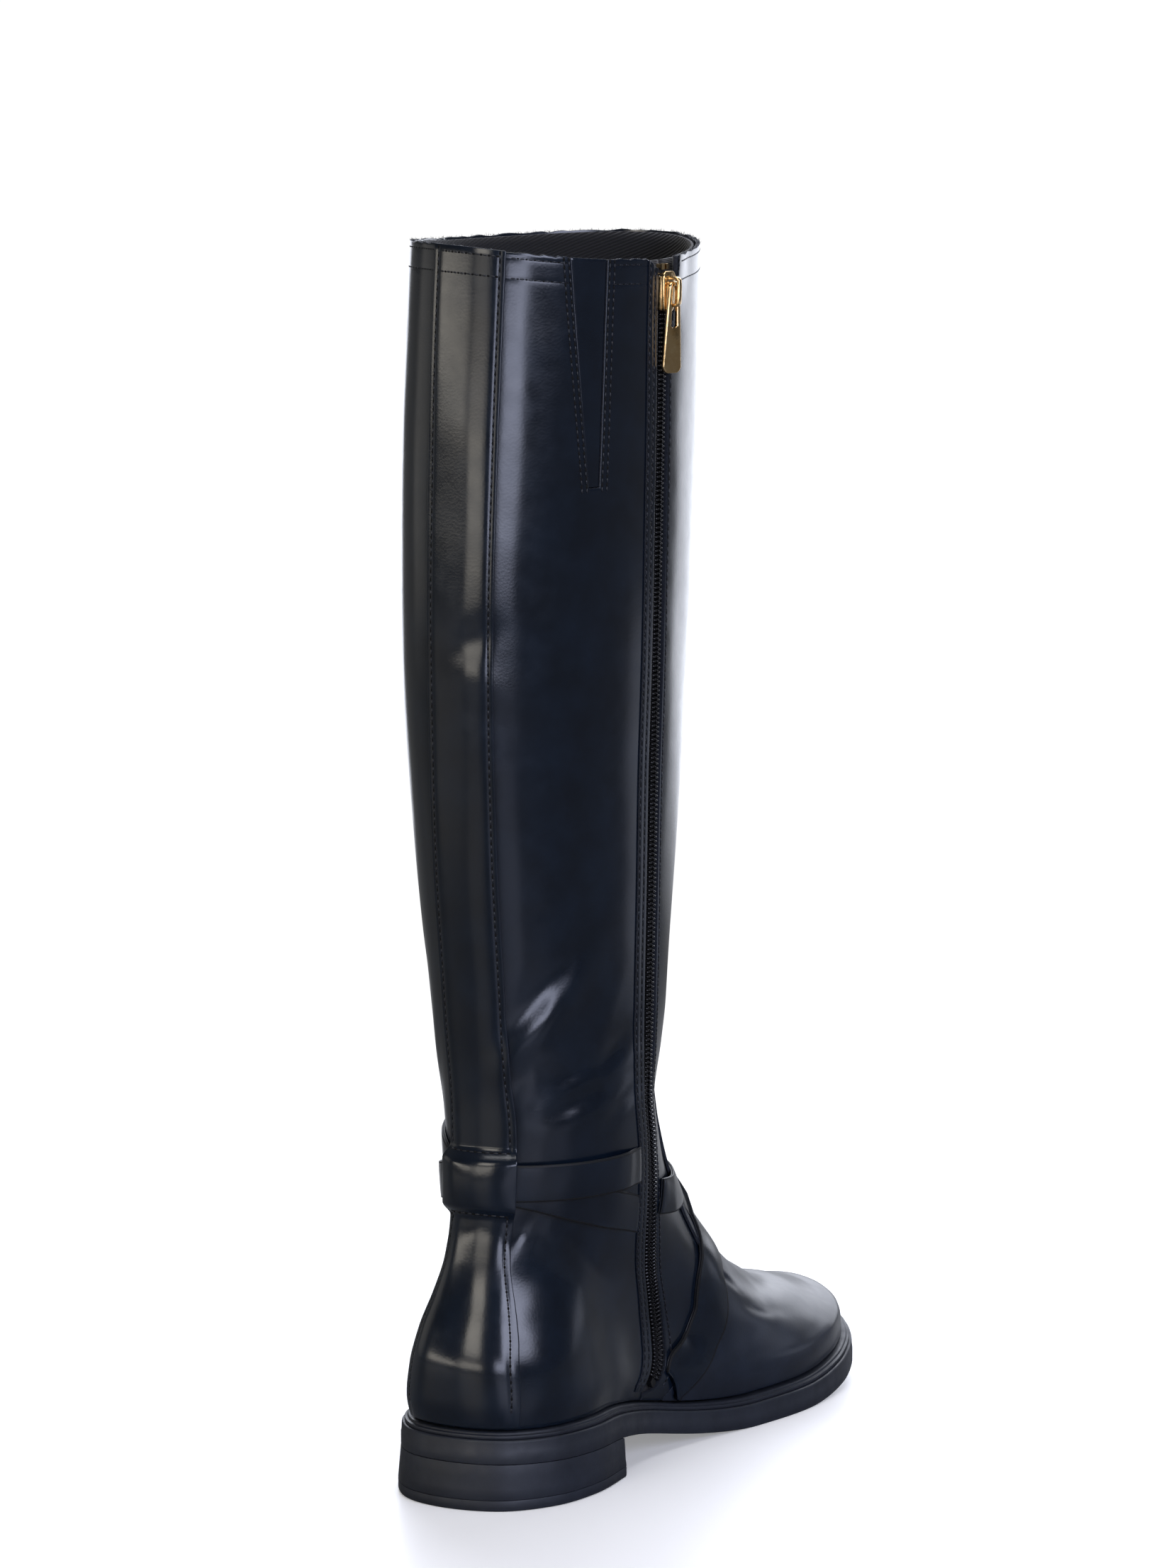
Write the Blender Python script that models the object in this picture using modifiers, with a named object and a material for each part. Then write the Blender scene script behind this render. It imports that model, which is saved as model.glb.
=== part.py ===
"""Left riding boot with a zip on its inner side.

Units in the code are millimetres, scaled to metres when a mesh is made. X points to the inner side of
the leg, Y to the toe, Z up. The origin is the middle of the heel on the floor.

The upper is one smooth surface, point(t, h): t runs round the leg from the back (0) over the inner side
(90) and the front (180) to the outer side (270), and h is the height at the back. Every leather, lining
and strap piece is a patch of that surface at its own distance from it.
"""

import math

import bmesh
import bpy
import numpy as np
from mathutils import Matrix, Vector

MM = 0.001

# Outer edge of the outsole, (x, y), from the back of the heel along the inner side, then back along the
# outer side.
SOLE_INNER = [
    (0, -33), (18, -28.5), (30.5, -13), (35, 7), (33.5, 33), (31, 61), (35.5, 92), (43.5, 121),
    (48.3, 148), (48.5, 172), (45.8, 191), (40.5, 205.7), (31.5, 218), (20, 226),
]
SOLE_OUTER = [
    (7.5, 229.5), (-5.5, 227), (-18, 219.5), (-29, 205.7), (-38, 187), (-43.5, 166), (-46, 144),
    (-44, 118), (-39, 90), (-35.5, 61), (-34.5, 33), (-35, 7), (-30.5, -13), (-18, -28.5),
]

# Sole unit
HEEL_BACK_HEIGHT = 16.5
HEEL_BREAST_HEIGHT = 14.5
HEEL_BREAST_Y = 33.0
HEEL_FLARE = 1.0
TOP_LIFT_THICKNESS = 3.8
BALL_START_Y = 120.0
BALL_END_Y = 150.0
TOE_TIP_Y = 229.5
TOE_SPRING = 13.0
OUTSOLE_THICKNESS = 8.4
WELT_THICKNESS = 2.1
WELT_WIDTH = 9.0
INSOLE_THICKNESS = 2.2
INSOCK_THICKNESS = 1.5
SHANK_WIDTH = 12.0
SHANK_THICKNESS = 1.1
SHANK_START_Y = -8.0
SHANK_END_Y = 96.0

# Heights of the upper. The shaft's own heights are shares of its length above the ankle.
SHAFT_HEIGHT = 428.0
ANKLE_HEIGHT = 135.0
RIM_SCALLOP = 1.5
# The rim stands higher on the outer side and at the back than at the zip.
RIM_RISE = 2.0
RIM_BACK_RISE = 1.0
RIM_ZONE = 60.0


def up(share):
    return ANKLE_HEIGHT + share * (SHAFT_HEIGHT - ANKLE_HEIGHT)


# Sections: height at the back, y of the back, how far the front lies below the back, y of the front,
# half width on the outer side, share of the sole's outline in the section, and that outline's inset.
SECTIONS = [
    (27.6, -29.0, -3.5, 225.3, 31.0, 1.00, 4.2),
    (36.0, -30.8, -4.5, 221.5, 31.0, 1.00, 3.0),
    (47.0, -30.5, -12.5, 210.2, 31.5, 0.93, 4.0),
    (60.0, -27.0, -21.0, 192.5, 31.3, 0.78, 6.0),
    (72.0, -21.5, -26.0, 169.5, 29.7, 0.55, 8.0),
    (85.0, -17.5, -27.5, 144.5, 27.5, 0.30, 10.0),
    (98.0, -15.2, -22.0, 119.0, 27.3, 0.12, 10.0),
    (113.0, -14.8, -10.0, 96.2, 29.0, 0.03, 10.0),
    (up(0.0), -14.8, 0.0, 83.0, 30.9, 0.00, 10.0),
    (up(0.113), -17.0, 0.0, 91.0, 36.6, 0.00, 10.0),
    (up(0.324), -21.8, 0.0, 104.2, 44.0, 0.00, 10.0),
    (up(0.563), -23.5, 0.0, 114.5, 48.9, 0.00, 10.0),
    (up(0.785), -20.8, 0.0, 121.0, 50.0, 0.00, 10.0),
    (up(1.0), -15.7, 0.0, 122.5, 48.0, 0.00, 10.0),
]
# The zip runs along t = 90: (height, half width on the inner side) and (height, y). It is straight above
# the ankle and curves back to the heel at its lower end.
ZIP_X = [(27.6, 27.0), (36, 28.0), (47, 29.7), (60, 31.2), (72, 32.3), (85, 33.3), (98, 34.5), (113, 35.6),
         (ANKLE_HEIGHT, 36.5), (SHAFT_HEIGHT, 39.0)]
ZIP_Y = [(20, 57.0), (29, 59.0), (31, 61.2), (34, 64.2), (38, 67.3), (44, 69.8), (50, 70.9), (58, 71.0),
         (66, 69.5), (75, 66.0), (85, 60.3), (95, 55.5), (105, 52.5), (120, 48.8), (ANKLE_HEIGHT, 45.0),
         (SHAFT_HEIGHT, 51.5)]
# How far the widest place lies behind the zip round the ankle, as a share of the width.
ANKLE_PINCH = [(27.6, 0.0), (88, 0.0), (104, 0.12), (118, 0.19), (128, 0.19), (ANKLE_HEIGHT + 15, 0.04),
               (ANKLE_HEIGHT + 30, 0.0), (SHAFT_HEIGHT, 0.0)]

# Leather, lining and stiffeners
GAP = 0.3
LEATHER = 1.6
VAMP_LEATHER = 1.4
STRIP_LEATHER = 1.4
STRAP_LEATHER = 1.8
STIFFENER = 1.2
LINING = 0.9
LINING_GAP = 0.7
OVERLAY_GAP = 0.4
STRAP_GAP = 0.6
BACK_SEAM = 1.4
COUNTER_SPAN = 73.0
COUNTER_TOP = 73.0
TOE_PUFF_SPAN = 45.0
TOE_PUFF_TOP = 55.0
LINING_SPLIT = ANKLE_HEIGHT
TONGUE_TOP = ANKLE_HEIGHT + 23.0
TONGUE_SPAN = 50.0
VAMP_OVERLAP = 7.0

# Straps
STRAP_WIDTH = 12.8
INSTEP_STRAP_WIDTH = 14.0
INSTEP_STRAP_BROAD = 18.5
INSTEP_STRAP_END = 16.5
STRAP_STEP = 4.7
KEEPER_BOTTOM = 103.6
KEEPER_TOP = 119.0
KEEPER_EASE = 5.0
KEEPER_SLACK = 0.4

# V gusset
GUSSET_DEPTH = 78.0
GUSSET_TOP_SPAN = (45.0, 61.0)
GUSSET_BOTTOM_SPAN = (56.0, 62.0)

# Zip
SLOT_HALF = 4.8
SLOT_END = 29.2
SLOT_ROUNDING = 3.0
FACING_WIDTH = 6.0
FACING_LEATHER = 1.0
TAPE_WIDTH = 12.0
TAPE_THICKNESS = 0.8
COIL_INNER = 0.7
COIL_WIDTH = 2.2
COIL_DEPTH = 2.1
COIL_TOP_BELOW_RIM = 4.6
COIL_BOTTOM = 36.0
STOP_LENGTH = 2.0
SLIDER_BELOW_COIL_TOP = 7.4
SLIDER_LENGTH = 14.0
SLIDER_HALF = 4.4
SLIDER_PLATE = 1.3
SLIDER_NECK_HALF = 0.4
SLIDER_FLANGE = 0.9
SLIDER_CLEARANCE = 0.5
BRIDGE_LENGTH = 10.6
BRIDGE_HALF = 1.0
BRIDGE_BAR = 1.2
PULL_LENGTH = 34.0
PULL_WIDTH = 8.0
PULL_THICKNESS = 1.6
PULL_BAR = 1.8
PULL_SLOT_LENGTH = 14.0
PULL_SLOT_CLEARANCE = 0.6
GUARD_THICKNESS = 0.9

SOLE_TOP = OUTSOLE_THICKNESS + GAP
WELT_TOP = SOLE_TOP + WELT_THICKNESS
FEATHER = WELT_TOP + GAP
INSOLE_TOP = FEATHER + INSOLE_THICKNESS
INSOCK_TOP = INSOLE_TOP + GAP + INSOCK_THICKNESS
STIFF_OUT = -LEATHER - GAP
LINING_OUT = -LEATHER - LINING_GAP
TAPE_OUT = -LEATHER - GAP
COIL_LOW = -LEATHER
COIL_TOP = SHAFT_HEIGHT - COIL_TOP_BELOW_RIM
SLIDER_CENTRE = COIL_TOP - SLIDER_BELOW_COIL_TOP
GUSSET_BOTTOM = SHAFT_HEIGHT - GUSSET_DEPTH

FOOT_ROWS = [SECTIONS[0][0], 30, 32, 35.5, 41, 48, 56, 64, 73, 83, 93, 103, 112, 121]
SHAFT_ROWS = [up(u) for u in (0.0, 0.05, 0.12, 0.205, 0.31, 0.43, 0.565)]
ROWS = FOOT_ROWS + SHAFT_ROWS + [GUSSET_BOTTOM, SHAFT_HEIGHT - 0.5 * GUSSET_DEPTH, SHAFT_HEIGHT]
FRONT_COLUMNS = [112, 123, 135, 149, 164, 180, 196, 211, 225, 237, 248]
OUTER_COLUMNS = [281, 292, 302, 313, 324, 336, 348]


for old in list(bpy.data.objects):
    bpy.data.objects.remove(old, do_unlink=True)
scene = bpy.context.scene
boot = bpy.data.collections.new("riding_boot")
cutters = bpy.data.collections.new("cutters")
scene.collection.children.link(boot)
scene.collection.children.link(cutters)
cutters.hide_render = True


def material(name, colour, rough, metal=0.0):
    found = bpy.data.materials.get(name)
    if found:
        return found
    made = bpy.data.materials.new(name)
    made.use_nodes = True
    shader = made.node_tree.nodes["Principled BSDF"]
    shader.inputs["Base Color"].default_value = (*colour, 1.0)
    shader.inputs["Roughness"].default_value = rough
    shader.inputs["Metallic"].default_value = metal
    made.diffuse_color = (*colour, 1.0)
    return made


LEATHER_MAT = material("black_leather", (0.012, 0.013, 0.018), 0.22)
RUBBER_MAT = material("black_rubber", (0.02, 0.02, 0.022), 0.55)
LINING_MAT = material("black_twill", (0.015, 0.015, 0.017), 0.9)
BOARD_MAT = material("fibre_board", (0.35, 0.24, 0.14), 0.9)
CORK_MAT = material("cork", (0.42, 0.27, 0.15), 0.95)
STEEL_MAT = material("spring_steel", (0.5, 0.5, 0.52), 0.35, 1.0)
NYLON_MAT = material("black_nylon", (0.015, 0.015, 0.016), 0.5)
GOLD_MAT = material("gold_metal", (0.75, 0.55, 0.28), 0.2, 1.0)


def to_object(name, bm, mat, where=None):
    """Writes a bmesh in millimetres to a named object in metres."""
    bmesh.ops.recalc_face_normals(bm, faces=bm.faces)
    bmesh.ops.scale(bm, vec=(MM, MM, MM), verts=bm.verts)
    mesh = bpy.data.meshes.new(name)
    bm.to_mesh(mesh)
    bm.free()
    mesh.materials.append(mat)
    mesh.shade_smooth()
    mesh.set_sharp_from_angle(angle=math.radians(35))
    obj = bpy.data.objects.new(name, mesh)
    (where or boot).objects.link(obj)
    return obj


def cutter(obj):
    obj.hide_render = True
    obj.display_type = "WIRE"
    return obj


def boolean(obj, other, operation):
    made = obj.modifiers.new(operation.lower(), "BOOLEAN")
    made.operation = operation
    made.object = other
    made.solver = "EXACT"


def flowing(xk, yk, x):
    """Curve through points that keeps a rounded shape between them."""
    xk, yk, x = (np.asarray(a, float) for a in (xk, yk, x))
    step = np.diff(xk)
    slope = np.diff(yk) / step
    m = np.empty_like(yk)
    m[1:-1] = (slope[:-1] * step[1:] + slope[1:] * step[:-1]) / (step[:-1] + step[1:])
    m[0], m[-1] = slope[0], slope[-1]
    return cubic(xk, yk, m, x)


def steady(xk, yk, x):
    """Curve through points that never swings past them."""
    xk, yk, x = (np.asarray(a, float) for a in (xk, yk, x))
    step = np.diff(xk)
    slope = np.diff(yk) / step
    m = np.zeros_like(yk)
    m[0], m[-1] = slope[0], slope[-1]
    for i in range(1, len(xk) - 1):
        if slope[i - 1] * slope[i] > 0:
            a = 2 * step[i] + step[i - 1]
            b = step[i] + 2 * step[i - 1]
            m[i] = (a + b) / (a / slope[i - 1] + b / slope[i])
    return cubic(xk, yk, m, x)


def cubic(xk, yk, m, x):
    step = np.diff(xk)
    i = np.clip(np.searchsorted(xk, x, side="right") - 1, 0, len(step) - 1)
    u = (x - xk[i]) / step[i]
    ends = (1 + 2 * u) * (1 - u) ** 2 * yk[i] + u * u * (3 - 2 * u) * yk[i + 1]
    return ends + step[i] * (u * (1 - u) ** 2 * m[i] + u * u * (u - 1) * m[i + 1])


def ramp(a, b, x):
    u = np.clip((np.asarray(x, float) - a) / (b - a), 0, 1)
    return u * u * (3 - 2 * u)


def closed_curve(points, count=720):
    p = np.array(points, float)
    q = np.concatenate([p[-4:], p, p[:5]])
    s = np.concatenate([[0], np.cumsum(np.linalg.norm(np.diff(q, axis=0), axis=1))])
    u = np.linspace(s[4], s[4 + len(p)], count, endpoint=False)
    return np.stack([flowing(s, q[:, 0], u), flowing(s, q[:, 1], u)], -1)


OUTLINE = closed_curve(SOLE_INNER + SOLE_OUTER)
ALONG = np.roll(OUTLINE, -1, 0) - np.roll(OUTLINE, 1, 0)
INWARD = np.stack([-ALONG[:, 1], ALONG[:, 0]], -1) / np.linalg.norm(ALONG, axis=1)[:, None]


def outline_halves(inset):
    """Inner and outer side of the sole's outline moved in by inset, each from the heel to the toe."""
    p = OUTLINE + INWARD * inset
    p = np.roll(p, -int(p[:, 1].argmin()), 0)
    tip = int(p[:, 1].argmax())
    return p[: tip + 1], np.concatenate([p[tip:], p[:1]])[::-1]


def sole_z(y):
    """Height of the outsole's underside."""
    y = np.asarray(y, float)
    rise = (HEEL_BACK_HEIGHT - HEEL_BREAST_HEIGHT) / (HEEL_BREAST_Y - SOLE_INNER[0][1])
    heel = HEEL_BREAST_HEIGHT + (HEEL_BREAST_Y - y) * rise
    spring = np.clip((y - BALL_END_Y) / (TOE_TIP_Y - BALL_END_Y), 0, None)
    return heel * (1 - ramp(HEEL_BREAST_Y - 11, BALL_START_Y, y)) + TOE_SPRING * spring**1.8


def line_of(keys, h):
    """Flows through the lower keys and is straight between the last two."""
    k = np.array(keys, float)
    low = steady(k[:, 0], k[:, 1], h)
    straight = k[-2, 1] + (k[-1, 1] - k[-2, 1]) * (h - k[-2, 0]) / (k[-1, 0] - k[-2, 0])
    return np.where(h < k[-2, 0], low, straight)


SECTION = np.array(SECTIONS, float)
FOOT_Y = tuple(outline_halves(SECTION[0, 6])[0][[0, -1], 1])


def half_turn(c, yc, back, front):
    return np.where(c > 0, yc - (yc - back) * c, yc - (front - yc) * c)


def point(t, h):
    """Point of the upper's outer surface, t in degrees."""
    t, h = np.broadcast_arrays(np.asarray(t, float), np.asarray(h, float))
    shape = t.shape
    t, h = np.radians(t.ravel()), h.ravel()
    back, drop, front, wide, share, inset = (steady(SECTION[:, 0], SECTION[:, j], h) for j in range(1, 7))
    yc = line_of(ZIP_Y, h)
    s, c = np.sin(t), np.cos(t)
    y = half_turn(c, yc, back, front)
    pinch = steady([k[0] for k in ANKLE_PINCH], [k[1] for k in ANKLE_PINCH], h)
    x = (1 - share) * np.where(s >= 0, line_of(ZIP_X, h) * (1 + pinch * c), wide) * s
    for g in np.unique(np.round(inset[share > 0], 3)):
        on = (np.round(inset, 3) == g) & (share > 0)
        inner, outer = outline_halves(g)
        yo = half_turn(c[on], yc[on], inner[0, 1], inner[-1, 1])
        xo = np.where(s[on] >= 0, np.interp(yo, inner[:, 1], inner[:, 0]), np.interp(yo, outer[:, 1],
                outer[:, 0]))
        x[on] += share[on] * xo
    yf = half_turn(c, yc, *FOOT_Y)
    ends = sole_z(np.array(FOOT_Y))
    sag = sole_z(yf) - (ends[0] + (ends[1] - ends[0]) * (yf - FOOT_Y[0]) / (FOOT_Y[1] - FOOT_Y[0]))
    z = h + drop * (y - back) / (front - back) + sag * share
    z = z + RIM_SCALLOP * np.cos(2 * t) * ramp(SHAFT_HEIGHT - 48, SHAFT_HEIGHT, h)
    z = z + (RIM_RISE + RIM_BACK_RISE * c) * (1 - s) * ramp(SHAFT_HEIGHT - RIM_ZONE, SHAFT_HEIGHT, h)
    return np.stack([x, y, z], -1).reshape(*shape, 3)


def slopes(t, h):
    low, high = SECTION[0, 0], SHAFT_HEIGHT
    a, b = np.clip(h - 0.5, low, high), np.clip(h + 0.5, low, high)
    along_t = (point(t + 0.5, h) - point(t - 0.5, h)) / 1.0
    along_h = (point(t, b) - point(t, a)) / (b - a)[..., None]
    return along_t, along_h


def surface(t, h, d):
    """Point at distance d outside the upper's surface."""
    t, h, d = np.broadcast_arrays(np.asarray(t, float), np.asarray(h, float), np.asarray(d, float))
    along_t, along_h = slopes(t, h)
    n = np.cross(along_t, along_h)
    n /= np.linalg.norm(n, axis=-1)[..., None]
    return point(t, h) + n * d[..., None]


def side_step(h, mm):
    """Degrees of t that lie mm away from the zip's line, rear side negative."""
    h = np.asarray(h, float)
    yc = line_of(ZIP_Y, h)
    back = steady(SECTION[:, 0], SECTION[:, 1], h)
    front = steady(SECTION[:, 0], SECTION[:, 3], h)
    return np.degrees(np.where(np.asarray(mm) < 0, mm / (yc - back), mm / (front - yc)))


def sheet(name, t, h, d, thick, mat, skip=None):
    """Patch of the upper with its outer face at d, as an open grid given a thickness inwards."""
    t, h, d = np.broadcast_arrays(np.asarray(t, float), np.asarray(h, float), np.asarray(d, float))
    p = surface(t, h, d)
    bm = bmesh.new()
    seen = {}
    grid = []
    for i in range(t.shape[0]):
        row = []
        for j in range(t.shape[1]):
            key = (round(float(t[i, j]), 4), round(float(h[i, j]), 4))
            if key not in seen:
                seen[key] = bm.verts.new(p[i, j])
            row.append(seen[key])
        grid.append(row)
    for i in range(t.shape[0] - 1):
        for j in range(t.shape[1] - 1):
            ring = [grid[i][j], grid[i][j + 1], grid[i + 1][j + 1], grid[i + 1][j]]
            ring = [v for k, v in enumerate(ring) if v is not ring[k - 1]]
            if len(ring) > 2 and not (skip and skip(i, j)):
                bm.faces.new(ring)
    bmesh.ops.delete(bm, geom=[v for v in bm.verts if not v.link_faces], context="VERTS")
    bmesh.ops.scale(bm, vec=(MM, MM, MM), verts=bm.verts)
    mesh = bpy.data.meshes.new(name)
    bm.to_mesh(mesh)
    bm.free()
    mesh.materials.append(mat)
    mesh.shade_smooth()
    obj = bpy.data.objects.new(name, mesh)
    boot.objects.link(obj)
    shell = obj.modifiers.new("thickness", "SOLIDIFY")
    shell.thickness = thick * MM
    shell.offset = -1.0
    shell.use_quality_normals = True
    return obj


def columns(parts, rows):
    """Grid of t: each entry is a number or a function of the height."""
    h = np.array(rows, float)
    return np.stack([np.broadcast_to(p(h) if callable(p) else float(p), h.shape) for p in parts], -1)


def rings(name, levels, mat, t_end=180.0, hole=False, count=36, where=None):
    """Body whose outline is the sole's, moved in by each level's inset, at each level's height function.

    With t_end below 180 the body ends in a straight face across the foot. With hole set the levels close
    on themselves.
    """
    t = np.radians(np.linspace(0, t_end, count + 1))
    bm = bmesh.new()
    loops = []
    for inset, height in levels:
        inner, outer = outline_halves(inset)
        mid = HEEL_BREAST_Y if t_end < 180 else 97.0
        front = HEEL_BREAST_Y if t_end < 180 else inner[-1, 1]
        y = half_turn(np.cos(t), mid, inner[0, 1], front)
        xi = np.interp(y, inner[:, 1], inner[:, 0])
        xo = np.interp(y, outer[:, 1], outer[:, 0])
        if t_end >= 180:
            xo[-1] = xi[-1]
        xo[0] = xi[0]
        z = height(y)
        right = [bm.verts.new(v) for v in zip(xi, y, z)]
        left = [right[0]] + [bm.verts.new(v) for v in zip(xo[1:], y[1:], z[1:])]
        if t_end >= 180:
            bm.verts.remove(left[-1])
            left[-1] = right[-1]
        loops.append((right, left))
    pairs = list(zip(loops, loops[1:]))
    if hole:
        pairs.append((loops[-1], loops[0]))
    for (ra, la), (rb, lb) in pairs:
        for i in range(count):
            bm.faces.new((ra[i], ra[i + 1], rb[i + 1], rb[i]))
            bm.faces.new((la[i + 1], la[i], lb[i], lb[i + 1]))
        if t_end < 180:
            bm.faces.new((ra[-1], la[-1], lb[-1], rb[-1]))
    if not hole:
        for right, left in (loops[0], loops[-1]):
            for i in range(count):
                face = (right[i], right[i + 1], left[i + 1], left[i])
                bm.faces.new([v for k, v in enumerate(face) if v not in face[:k]])
    return to_object(name, bm, mat, where)


def above(dz):
    return lambda y: sole_z(y) + dz


def flat(z):
    return lambda y: np.full_like(y, z)


# Sole unit, from the floor up
heel_t = 90.0
rings("heel_top_lift", [(0.4 - HEEL_FLARE, flat(0.0)), (-HEEL_FLARE, flat(0.4)), (-HEEL_FLARE,
        flat(TOP_LIFT_THICKNESS))],
      RUBBER_MAT, t_end=heel_t, count=14)
rings("heel_block", [(-HEEL_FLARE, flat(TOP_LIFT_THICKNESS + GAP)), (0.0, above(-GAP))], RUBBER_MAT,
        t_end=heel_t, count=14)
rings("outsole", [(1.4, above(0.0)), (0.0, above(1.0)), (0.0, above(OUTSOLE_THICKNESS - 0.8)),
                  (0.8, above(OUTSOLE_THICKNESS))], RUBBER_MAT)
rings("welt", [(1.4, above(SOLE_TOP)), (0.8, above(SOLE_TOP + 0.35 * WELT_THICKNESS)),
               (1.3, above(SOLE_TOP + 0.8 * WELT_THICKNESS)), (2.6, above(WELT_TOP)),
               (0.8 + WELT_WIDTH, above(WELT_TOP)), (0.8 + WELT_WIDTH,
               above(SOLE_TOP))], RUBBER_MAT, hole=True)
filler = rings("sole_filler", [(0.8 + WELT_WIDTH + GAP, above(SOLE_TOP)), (0.8 + WELT_WIDTH + GAP,
        above(WELT_TOP))],
               CORK_MAT, count=30)


def bar_along_foot(name, half, low, high, start, end, mat, where=None):
    """Strip that follows the sole's curve along the foot."""
    y = np.linspace(start, end, 19)
    bm = bmesh.new()
    sections = []
    for yy, zz in zip(y, sole_z(y)):
        corners = ((-half, low), (half, low), (half, high), (-half, high))
        sections.append([bm.verts.new((a, yy, zz + b)) for a, b in corners])
    for a, b in zip(sections, sections[1:]):
        for i in range(4):
            bm.faces.new((a[i], a[(i + 1) % 4], b[(i + 1) % 4], b[i]))
    bm.faces.new(sections[0])
    bm.faces.new(sections[-1])
    return to_object(name, bm, mat, where)


shank_low = WELT_TOP - SHANK_THICKNESS
bar_along_foot("shank", SHANK_WIDTH / 2, shank_low, WELT_TOP, SHANK_START_Y, SHANK_END_Y, STEEL_MAT)
pocket = cutter(bar_along_foot("shank_pocket", SHANK_WIDTH / 2 + GAP, shank_low - GAP, WELT_TOP + 3,
                               SHANK_START_Y - GAP, SHANK_END_Y + GAP, STEEL_MAT, cutters))
boolean(filler, pocket, "DIFFERENCE")
board_inset = SECTION[0, 6] + LEATHER + GAP + STIFFENER + GAP
rings("insole_board", [(board_inset, above(FEATHER)), (board_inset, above(INSOLE_TOP))], BOARD_MAT,
        count=30)
sock_inset = board_inset + LINING + LINING_GAP + GAP
rings("insock", [(sock_inset, above(INSOLE_TOP + GAP)), (sock_inset, above(INSOCK_TOP))], LINING_MAT,
        count=30)


# Upper
def slot_rear(h):
    return 90 + side_step(h, -SLOT_HALF * ramp(SLOT_END, SLOT_END + SLOT_ROUNDING, h) - GAP / 2)


def slot_front(h):
    return 90 + side_step(h, SLOT_HALF * ramp(SLOT_END, SLOT_END + SLOT_ROUNDING, h) + GAP / 2)


def facing_rear(h):
    return slot_rear(h) + side_step(h, -FACING_WIDTH)


def gusset_side(k):
    def side(h):
        u = np.clip((h - GUSSET_BOTTOM) / (SHAFT_HEIGHT - GUSSET_BOTTOM), 0, 1)
        low = GUSSET_BOTTOM_SPAN[k]
        ease = (50, 62)[k]
        below = ramp(GUSSET_BOTTOM - 90, GUSSET_BOTTOM, h)
        return np.where(h >= GUSSET_BOTTOM, low + (GUSSET_TOP_SPAN[k] - low) * u,
                ease + (low - ease) * below)
    return side


def vamp_edge(t):
    """Height of the front panel's lower edge, where the vamp laps over it."""
    t = np.where(np.asarray(t, float) > 180, 360 - np.asarray(t, float), t)
    keys = [(90, 27.6), (94.2, 27.6), (95.2, 37), (96.4, 46), (100.3, 61), (106.8, 76), (118.5, 92),
            (134, 104), (155, 112), (180, 116)]
    return steady([k[0] for k in keys], [k[1] for k in keys], t)


def vamp_top(t):
    t = np.where(np.asarray(t, float) > 180, 360 - np.asarray(t, float), t)
    side = vamp_edge(t) + VAMP_OVERLAP
    return side + (TONGUE_TOP - side) * ramp(180 - TONGUE_SPAN - 8, 180 - TONGUE_SPAN + 4, t)


def vamp_cover(t, h):
    """Distance of the vamp's outer face outside the surface: level below, on top of the front panel above."""
    return (VAMP_LEATHER + OVERLAY_GAP) * ramp(-22, -7, np.asarray(h, float) - vamp_edge(t))


def beside_zip(low, clear):
    """Column at t = low in the foot, kept clear of the zip's front edge higher up."""
    return lambda h: np.maximum(low, slot_front(h) + clear)


def between_back_and_gusset(h):
    return (34 + gusset_side(0)(h)) / 2


rows = np.array(ROWS, float)[:, None]
half_seam = GAP / 2
side_seam = math.degrees(half_seam / 60)
seam_back = math.degrees(BACK_SEAM / 2 / 32)
INNER_COLUMNS = [12, 24, 34, between_back_and_gusset, gusset_side(0), gusset_side(1), 69]
rear_t = columns([seam_back] + INNER_COLUMNS + [facing_rear, slot_rear], ROWS)
first_notch_row = ROWS.index(GUSSET_BOTTOM)
sheet("inner_rear_panel", rear_t, rows, 0.0, LEATHER, LEATHER_MAT,
      skip=lambda i, j: j == 5 and i >= first_notch_row)
gusset_rows = np.linspace(GUSSET_BOTTOM + 0.4, SHAFT_HEIGHT, 5)
notch = math.degrees(0.4 / 62)
gusset_t = columns([lambda h: gusset_side(0)(h) + notch,
        lambda h: (gusset_side(0)(h) + gusset_side(1)(h)) / 2,
                    lambda h: gusset_side(1)(h) - notch], gusset_rows)
sheet("gusset", gusset_t, gusset_rows[:, None], 0.0, LEATHER, LEATHER_MAT)
outer_t = columns([270 + side_seam] + OUTER_COLUMNS + [360 - seam_back], ROWS)
sheet("outer_rear_panel", outer_t, rows, 0.0, LEATHER, LEATHER_MAT)

SIDE_COLUMNS = [beside_zip(95.2, 2.8), beside_zip(98, 6.0), beside_zip(103, 9.5)]
front_t = columns([slot_front, beside_zip(94.2, 1.4)] + SIDE_COLUMNS + FRONT_COLUMNS
                  + [257, 262, 264.8, 265.8, 270 - side_seam], ROWS)
edge = vamp_edge(front_t)
front_h = np.where((edge > ROWS[0]) & (rows < edge + 3.0), edge, rows)
sheet("front_panel", front_t, front_h, 0.0, LEATHER, LEATHER_MAT)
TONGUE_SIDES = [125, 127, 129, 131, 133, 227, 229, 231, 233, 235]
vamp_t = columns([95.2, 98, 103] + sorted(FRONT_COLUMNS + TONGUE_SIDES) + [257, 262, 264.8], ROWS)
vamp_h = np.where(rows > vamp_top(vamp_t) - 3.0, vamp_top(vamp_t), rows)
sheet("vamp", vamp_t, vamp_h, vamp_cover(vamp_t, vamp_h), VAMP_LEATHER, LEATHER_MAT)


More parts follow.
